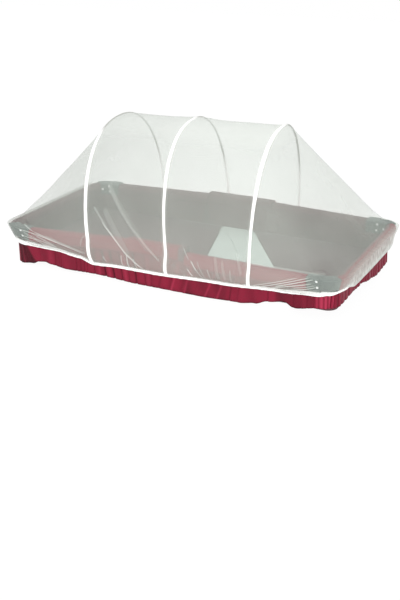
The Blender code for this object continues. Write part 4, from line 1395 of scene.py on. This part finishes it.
def side_run(side, grid):
    """Places along a side's cloth, from the middle of one corner to the next."""
    count = grid[1] if side in ("front", "back") else grid[2]
    half = (STRAIGHT_X if side in ("front", "back") else STRAIGHT_Y) + QUARTER / 2 - CORNER_SEAM
    return SIDES.index(side) * SIDE_PITCH + np.linspace(-half, half, count)


def skirt_folds():
    """Creases along the skirt: place at the top, slant to the foot, half width, depth.

    The front's are listed in a table; the other sides' follow in the same way.
    """
    folds = [(outline_place("front", x), slant, wide, depth) for x, slant, wide, depth in FRONT_FOLDS]
    place, number = outline_place("front", 0.600), 0
    while place < outline_place("front", -0.600):
        number += 1
        jitter = math.sin(number * 12.9898) * 43758.5453 % 1.0
        other = math.sin(number * 78.233) * 12543.123 % 1.0
        folds.append((place, 0.030 * (other - 0.5), 0.0018 + 0.0030 * other, 0.30 + 0.65 * jitter))
        place += 0.010 + 0.034 * other
    return folds


def fold_depth(folds, places, share):
    """Shares of the fold depth at places along the skirt, share 0 at its top, 1 at its foot."""
    total = np.zeros(len(places))
    for at, slant, half_width, depth in folds:
        away = shortest(places - at - slant * share)
        away = np.where(away < 0, away / (half_width * 1.8), away / half_width)
        total = np.maximum(total, depth * np.exp(-(away**2)))
    return total


def skirt_shade(places, share):
    """Painted shade and painted highlights on the skirt's cloth, where it turns from or to the light, under
    the rail and along its lower edge.
    """
    run = front_run(places)
    on_front = np.abs(run) < STRAIGHT_X + QUARTER / 2
    broad = ripple(places - 0.45 * share * 0.05, 34, share * 0.7, 6)
    dark = 0.10 + 0.26 * broad
    for start, end, slant, strength in SKIRT_SHADOWS:
        edge = slant * share
        inside = smooth((run - start - edge) / 0.012) * smooth((end + edge - run) / 0.012)
        dark = dark + strength * inside * on_front
    bright = np.zeros(len(places))
    for x, slant, half_width, strength in SKIRT_LIGHTS:
        away = (run - x - slant * share) / half_width
        bright = np.maximum(bright, strength * np.exp(-(away**2)) * on_front)
    # painted shade along the skirt's lower edge and under the rail's overhang
    dark = dark + 0.45 * smooth((share - 0.90) / 0.10) + 0.25 * smooth((0.08 - share) / 0.08)
    return np.clip(dark, 0.0, 1.0), np.clip(bright, 0.0, 1.0)


def skirt_material():
    # The fold mark's tint is painted shade in the creases and shaded parts, and the shine mark's tint is a
    # painted highlight.
    return woven_material(
        "Maroon skirt", colours().maroon, 0.0011, 0.14, 0.50, 0.30,
        marks=(("fold", (0.045, 0.0012, 0.006)), ("shine", (0.56, 0.045, 0.105))),
    )


class PLAYPEN_OT_skirt(bpy.types.Operator):
    """Hang the creased maroon skirt under the rails."""
    bl_idname = "playpen.skirt"
    bl_label = "Skirt"

    def execute(self, context):
        folds = skirt_folds()
        for side in SIDES:
            places = side_run(side, SKIRT_GRID)
            base, outward = outline_points(places)
            high = cloth_tops(side, places, RAIL_HEIGHT + 0.0008)
            low = RAIL_TOP - eased(SKIRT_DEPTHS, places)
            rows, creased, lit = [], [], []
            for share in np.linspace(0.0, 1.0, SKIRT_GRID[0]):
                depth = fold_depth(folds, places, share)
                dark, bright = skirt_shade(places, share)
                slow = ripple(places, 9, share * 1.5, 4)
                push = sizes().skirt_fold * depth * (0.5 + 0.5 * share) + 0.0012 * slow + 0.0012
                point = base - outward * (SKIRT_INSET - 0.0014 + push)[:, None]
                point[:, 2] = high + (low - high) * share
                rows.append(point)
                # painted shade in the folds' troughs and the shaded parts, and painted highlights on the lit
                # folds
                creased.append(np.clip(np.maximum(dark, 0.92 * depth), 0.0, 1.0))
                lit.append(bright * (1 - 0.9 * depth))
            grid = np.array(rows)[:, ::-1]
            marks = {"fold": np.array(creased)[:, ::-1], "shine": np.array(lit)[:, ::-1]}
            piece = add_cloth(
                f"skirt_cloth_{side}", grid, skirt_material(), thickness=CLOTH_THICKNESS, marks=marks
            )
            finish_piece(piece, "skirt", f"skirt_{side}")
        return {"FINISHED"}


def lining_material():
    return woven_material("Grey lining", colours().wall, 0.0012, 0.30, 0.85, 0.3,
                          marks=(("shade", (0.055, 0.055, 0.048)),))


class PLAYPEN_OT_walls(bpy.types.Operator):
    """Line the playpen's sides with dark cloth walls."""
    bl_idname = "playpen.walls"
    bl_label = "Inner walls"

    def execute(self, context):
        for side in SIDES:
            places = side_run(side, WALL_GRID)
            base, outward = outline_points(places)
            high, low = cloth_tops(side, places, WALL_DROP), MAT_TOP - WALL_UNDER_MAT
            # the cloth is drawn tight beside the latch, and painted shade darkens it there
            latch_x = [row[3] for row in SIDE_RAILS if row[1] == side][:1]
            near_latch = (smooth(1 - np.abs(base[:, 0] - x + 0.010) / 0.016) for x in latch_x)
            drawn = sum(near_latch, np.zeros(len(places)))
            rows, shades = [], []
            for share in np.linspace(0.0, 1.0, WALL_GRID[0]):
                uneven = ripple(places, 14, share * 1.2, 9) * 0.7 + ripple(places, 41, share * 2, 2) * 0.3
                bow = (0.0022 * uneven - 0.0010 * drawn) * math.sin(math.pi * (0.15 + 0.7 * share))
                point = base - outward * (LINER_INSET + 0.0004 - bow)[:, None]
                point[:, 2] = high + (low - high) * share
                rows.append(point)
                # painted shade: darker beside the latch and where the cloth bows inward
                shades.append(np.clip(0.55 * drawn + 0.5 * np.clip(-uneven, 0.0, 1.0), 0.0, 1.0))
            grid = np.array(rows)[:, ::-1]
            piece = add_cloth(f"wall_{side}", grid, lining_material(), thickness=CLOTH_THICKNESS,
                              marks={"shade": np.array(shades)[:, ::-1]})
            finish_piece(piece, "liner", f"liner_{side}")
        return {"FINISHED"}


# ---- mat ----
def mat_divide(edge, y):
    """X of the left (0) or right (1) edge of the mat's middle part at y."""
    share = (MAT_HALF_WIDTH - y) / (2 * MAT_HALF_WIDTH)
    return MAT_MIDDLE_BACK[edge] + (MAT_MIDDLE_FRONT[edge] - MAT_MIDDLE_BACK[edge]) * share


def rounded_loop(corners, spacing):
    """Points round a loop of (x, y, radius) corners, counterclockwise, and their outward directions."""
    points = []
    for index, (x, y, radius) in enumerate(corners):
        here = np.array((x, y))
        back = np.array(corners[index - 1][:2]) - here
        ahead = np.array(corners[(index + 1) % len(corners)][:2]) - here
        back, ahead = back / np.linalg.norm(back), ahead / np.linalg.norm(ahead)
        half = math.acos(float(back @ ahead)) / 2
        middle = here + (back + ahead) / np.linalg.norm(back + ahead) * radius / math.sin(half)
        start = here + back * radius / math.tan(half) - middle
        turn = math.pi - 2 * half
        for step in range(9):
            angle = turn * step / 8
            cos, sin = math.cos(angle), math.sin(angle)
            points.append(middle + (start[0] * cos - start[1] * sin, start[0] * sin + start[1] * cos))
    points = np.array(points + points[:1])
    lengths = running(np.linalg.norm(np.diff(points, axis=0), axis=1))
    even = np.linspace(0.0, lengths[-1], int(lengths[-1] / spacing), endpoint=False)
    loop = np.stack([np.interp(even, lengths, points[:, axis]) for axis in (0, 1)], axis=-1)
    along = np.roll(loop, -1, axis=0) - np.roll(loop, 1, axis=0)
    along /= np.linalg.norm(along, axis=1, keepdims=True)
    return loop, np.stack([along[:, 1], -along[:, 0]], axis=-1)


def mat_foot(loop, left_x, right_x, left_taper, right_taper):
    """Where the mat's belly meets the floor under each point of its upper outline."""
    y = loop[:, 1]
    low_y = y * (MAT_HALF_WIDTH - MAT_TAPER) / MAT_HALF_WIDTH
    share = (loop[:, 0] - left_x(y)) / (right_x(y) - left_x(y))
    left, right = left_x(low_y) + left_taper, right_x(low_y) - right_taper
    return np.stack([left + (right - left) * share, low_y], axis=-1)


def mat_material(name, tint):
    return woven_material(name, tint, 0.0012, 0.20, 0.85, 0.3, marks=(("piping", tuple(colours().piping)),))


class PLAYPEN_OT_mat(bpy.types.Operator):
    """Sew the mat's dark halves and its pale middle, each with a piped edge."""
    bl_idname = "playpen.mat"
    bl_label = "Mat"

    def execute(self, context):
        end_x = STRAIGHT_X + MAT_CORNER_RADIUS
        high = MAT_HALF_WIDTH
        gap = PIECE_GAP / 2

        def divide(edge, shift=0.0):
            return lambda y: mat_divide(edge, y) + shift

        def outer(end):
            return lambda y: np.full_like(y, end * end_x)

        left_edge, right_edge = divide(0, -gap), divide(1, gap)
        pieces = (
            ("mat_left", "mat", colours().lining, outer(-1), left_edge, MAT_TAPER, 0.0,
             ((-end_x, -high, 0.032), (left_edge(-high), -high, 0.016), (left_edge(high), high, 0.014),
              (-end_x, high, 0.032))),
            ("mat_right", "mat", colours().lining, right_edge, outer(1), 0.0, MAT_TAPER,
             ((right_edge(-high), -high, 0.016), (end_x, -high, 0.032), (end_x, high, 0.032),
              (right_edge(high), high, 0.010))),
            ("mat_middle", "mat_pale", colours().pale, divide(0, gap), divide(1, -gap), 0.0, 0.0,
             ((mat_divide(0, -high) + gap, -high, 0.006), (mat_divide(1, -high) - gap, -high, 0.006),
              (mat_divide(1, high) - gap, high, 0.003), (mat_divide(0, high) + gap, high, 0.003))),
        )
        for name, slot, tint, left_x, right_x, left_taper, right_taper, corners in pieces:
            loop, outward = rounded_loop(corners, 0.0055)
            foot = mat_foot(loop, left_x, right_x, left_taper, right_taper)
            rings, piped = [], []

            def add_ring(plan, heights, mark=0.0):
                rings.append(np.column_stack([plan, np.broadcast_to(heights, len(loop))]))
                piped.append(mark)

            middle = foot.mean(axis=0)
            for share in (0.03, 0.4, 0.8, 0.97, 1.0):
                add_ring(middle + (foot - middle) * share, 0.0)
            for share in (0.2, 0.45, 0.7, 0.9):
                add_ring(foot + (loop - foot) * share, (MAT_TOP - MAT_EDGE) * share**1.25)
            for inset, rise, mark in MAT_EDGE_SECTION:
                add_ring(loop - outward * inset, MAT_TOP + rise, mark)
            inner, middle = loop - outward * MAT_EDGE_SECTION[-1][0], loop.mean(axis=0)
            for share in (0.98, 0.94, 0.88, 0.80, 0.70, 0.58, 0.46, 0.34, 0.22, 0.11, 0.02):
                flat = middle + (inner - middle) * share
                add_ring(flat, [
                    MAT_TOP + 0.0012 + 0.0012 * noise.noise(Vector((x * 16, y * 16, 2))) for x, y in flat
                ])
            rings = np.array(rings)
            seen = smooth((loop[:, 1] - 0.19) / 0.04) * smooth((loop[:, 0] + 0.26) / 0.07)
            seen *= smooth((0.47 - loop[:, 0]) / 0.12) * (0.0 if slot == "mat_pale" else 0.85)
            marks = {"piping": np.array(piped)[:, None] * seen[None, :]}
            stuff = mat_material(f"Cloth of {slot}", tint)
            piece = add_tube(f"pad_{name}", rings, stuff, marks=marks, flat_uv=True)
            finish_piece(piece, slot, name)
        return {"FINISHED"}


# ---- stage ----
# place, what it faces, power, size
SOFT_BOXES = (
    ((1.3, -3.0, 1.1), (0.1, 0.0, 0.1), 26.0, 1.6),
    ((-1.8, -2.2, 2.2), (0.0, 0.0, 0.1), 14.0, 2.0),
)
CAMERA_PLACE = (1.41897, -2.75065, 1.05626 + RAIL_TOP)
CAMERA_YAW, CAMERA_PITCH, CAMERA_ROLL = math.radians(27.17), math.radians(18.65), math.radians(-0.65)
CAMERA_SENSOR, CAMERA_LENS, CAMERA_SHIFT = 36.0, 56.29, (-0.0046, -0.134)


class PLAYPEN_OT_stage(bpy.types.Operator):
    """Set up the pale floor, the soft lights and the camera."""
    bl_idname = "playpen.stage"
    bl_label = "Stage"

    def execute(self, context):
        scene = context.scene
        scene.view_settings.view_transform = "Standard"
        nothing_selected()
        bpy.ops.mesh.primitive_plane_add(size=14.0, location=(0.0, 0.0, -0.0005))
        floor = context.active_object
        floor.name = "floor"
        bpy.ops.object.transform_apply(location=True, rotation=False, scale=False)
        made, _, shader = new_material("Pale floor")
        shader.inputs["Base Color"].default_value = (0.06, 0.06, 0.06, 1.0)
        shader.inputs["Roughness"].default_value = 0.9
        shader.inputs["Specular IOR Level"].default_value = 0.0
        shader.inputs["Emission Color"].default_value = (1.0, 1.0, 1.0, 1.0)
        shader.inputs["Emission Strength"].default_value = 0.96
        floor.data.materials.append(made)

        world = bpy.data.worlds.new("Soft studio")
        world.use_nodes = True
        world.node_tree.nodes["Background"].inputs[0].default_value = (1.0, 1.0, 1.0, 1.0)
        world.node_tree.nodes["Background"].inputs[1].default_value = 1.0
        scene.world = world
        for place, target, power, size in SOFT_BOXES:
            lamp = bpy.data.lights.new("soft_box", "AREA")
            lamp.energy = power
            lamp.size = size
            held = bpy.data.objects.new("soft_box", lamp)
            held.location = place
            held.rotation_euler = (Vector(target) - Vector(place)).to_track_quat("-Z", "Y").to_euler()
            context.collection.objects.link(held)

        eye = bpy.data.cameras.new("camera")
        camera = bpy.data.objects.new("camera", eye)
        context.collection.objects.link(camera)
        sin_yaw, cos_yaw = math.sin(CAMERA_YAW), math.cos(CAMERA_YAW)
        right = Vector((cos_yaw, sin_yaw, 0.0))
        level = math.cos(CAMERA_PITCH)
        back = Vector((sin_yaw * level, -cos_yaw * level, math.sin(CAMERA_PITCH)))
        up = back.cross(right)
        turned_right = right * math.cos(CAMERA_ROLL) + up * math.sin(CAMERA_ROLL)
        turned_up = up * math.cos(CAMERA_ROLL) - right * math.sin(CAMERA_ROLL)
        turn = [[turned_right[i], turned_up[i], back[i]] for i in range(3)]
        camera.matrix_world = Matrix.Translation(CAMERA_PLACE) @ Matrix(turn).to_4x4()
        eye.sensor_width, eye.lens = CAMERA_SENSOR, CAMERA_LENS
        eye.shift_x, eye.shift_y = CAMERA_SHIFT
        scene.camera = camera
        return {"FINISHED"}


class PLAYPEN_PT_panel(bpy.types.Panel):
    """Sizes, colours and the steps of the playpen net."""
    bl_idname = "PLAYPEN_PT_panel"
    bl_label = "Playpen net"
    bl_space_type = "VIEW_3D"
    bl_region_type = "UI"
    bl_category = "Playpen net"

    def draw(self, context):
        layout = self.layout
        for group in (sizes(), colours()):
            box = layout.box()
            for key in group.__annotations__:
                box.prop(group, key)
        for step in STEPS:
            layout.operator(step.bl_idname)


STEPS = (
    PLAYPEN_OT_stage,
    PLAYPEN_OT_rails,
    PLAYPEN_OT_brackets,
    PLAYPEN_OT_rivets,
    PLAYPEN_OT_skirt,
    PLAYPEN_OT_walls,
    PLAYPEN_OT_mat,
    PLAYPEN_OT_sleeves,
    PLAYPEN_OT_hem,
    PLAYPEN_OT_tunnel_net,
    PLAYPEN_OT_end_net,
)
CLASSES = (PlaypenNetSizes, PlaypenNetColours, *STEPS, PLAYPEN_PT_panel)


def register():
    for item in CLASSES:
        bpy.utils.register_class(item)
    bpy.types.Scene.playpen_net_sizes = bpy.props.PointerProperty(type=PlaypenNetSizes)
    bpy.types.Scene.playpen_net_colours = bpy.props.PointerProperty(type=PlaypenNetColours)


def unregister():
    del bpy.types.Scene.playpen_net_colours
    del bpy.types.Scene.playpen_net_sizes
    for item in reversed(CLASSES):
        bpy.utils.unregister_class(item)


def main():
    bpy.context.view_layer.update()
    register()
    bpy.ops.playpen.stage()
    bpy.ops.playpen.rails()
    bpy.ops.playpen.brackets()
    bpy.ops.playpen.rivets()
    bpy.ops.playpen.skirt()
    bpy.ops.playpen.walls()
    bpy.ops.playpen.mat()
    bpy.ops.playpen.sleeves()
    bpy.ops.playpen.hem()
    bpy.ops.playpen.tunnel_net()
    bpy.ops.playpen.end_net()


if __name__ == "__main__":
    main()
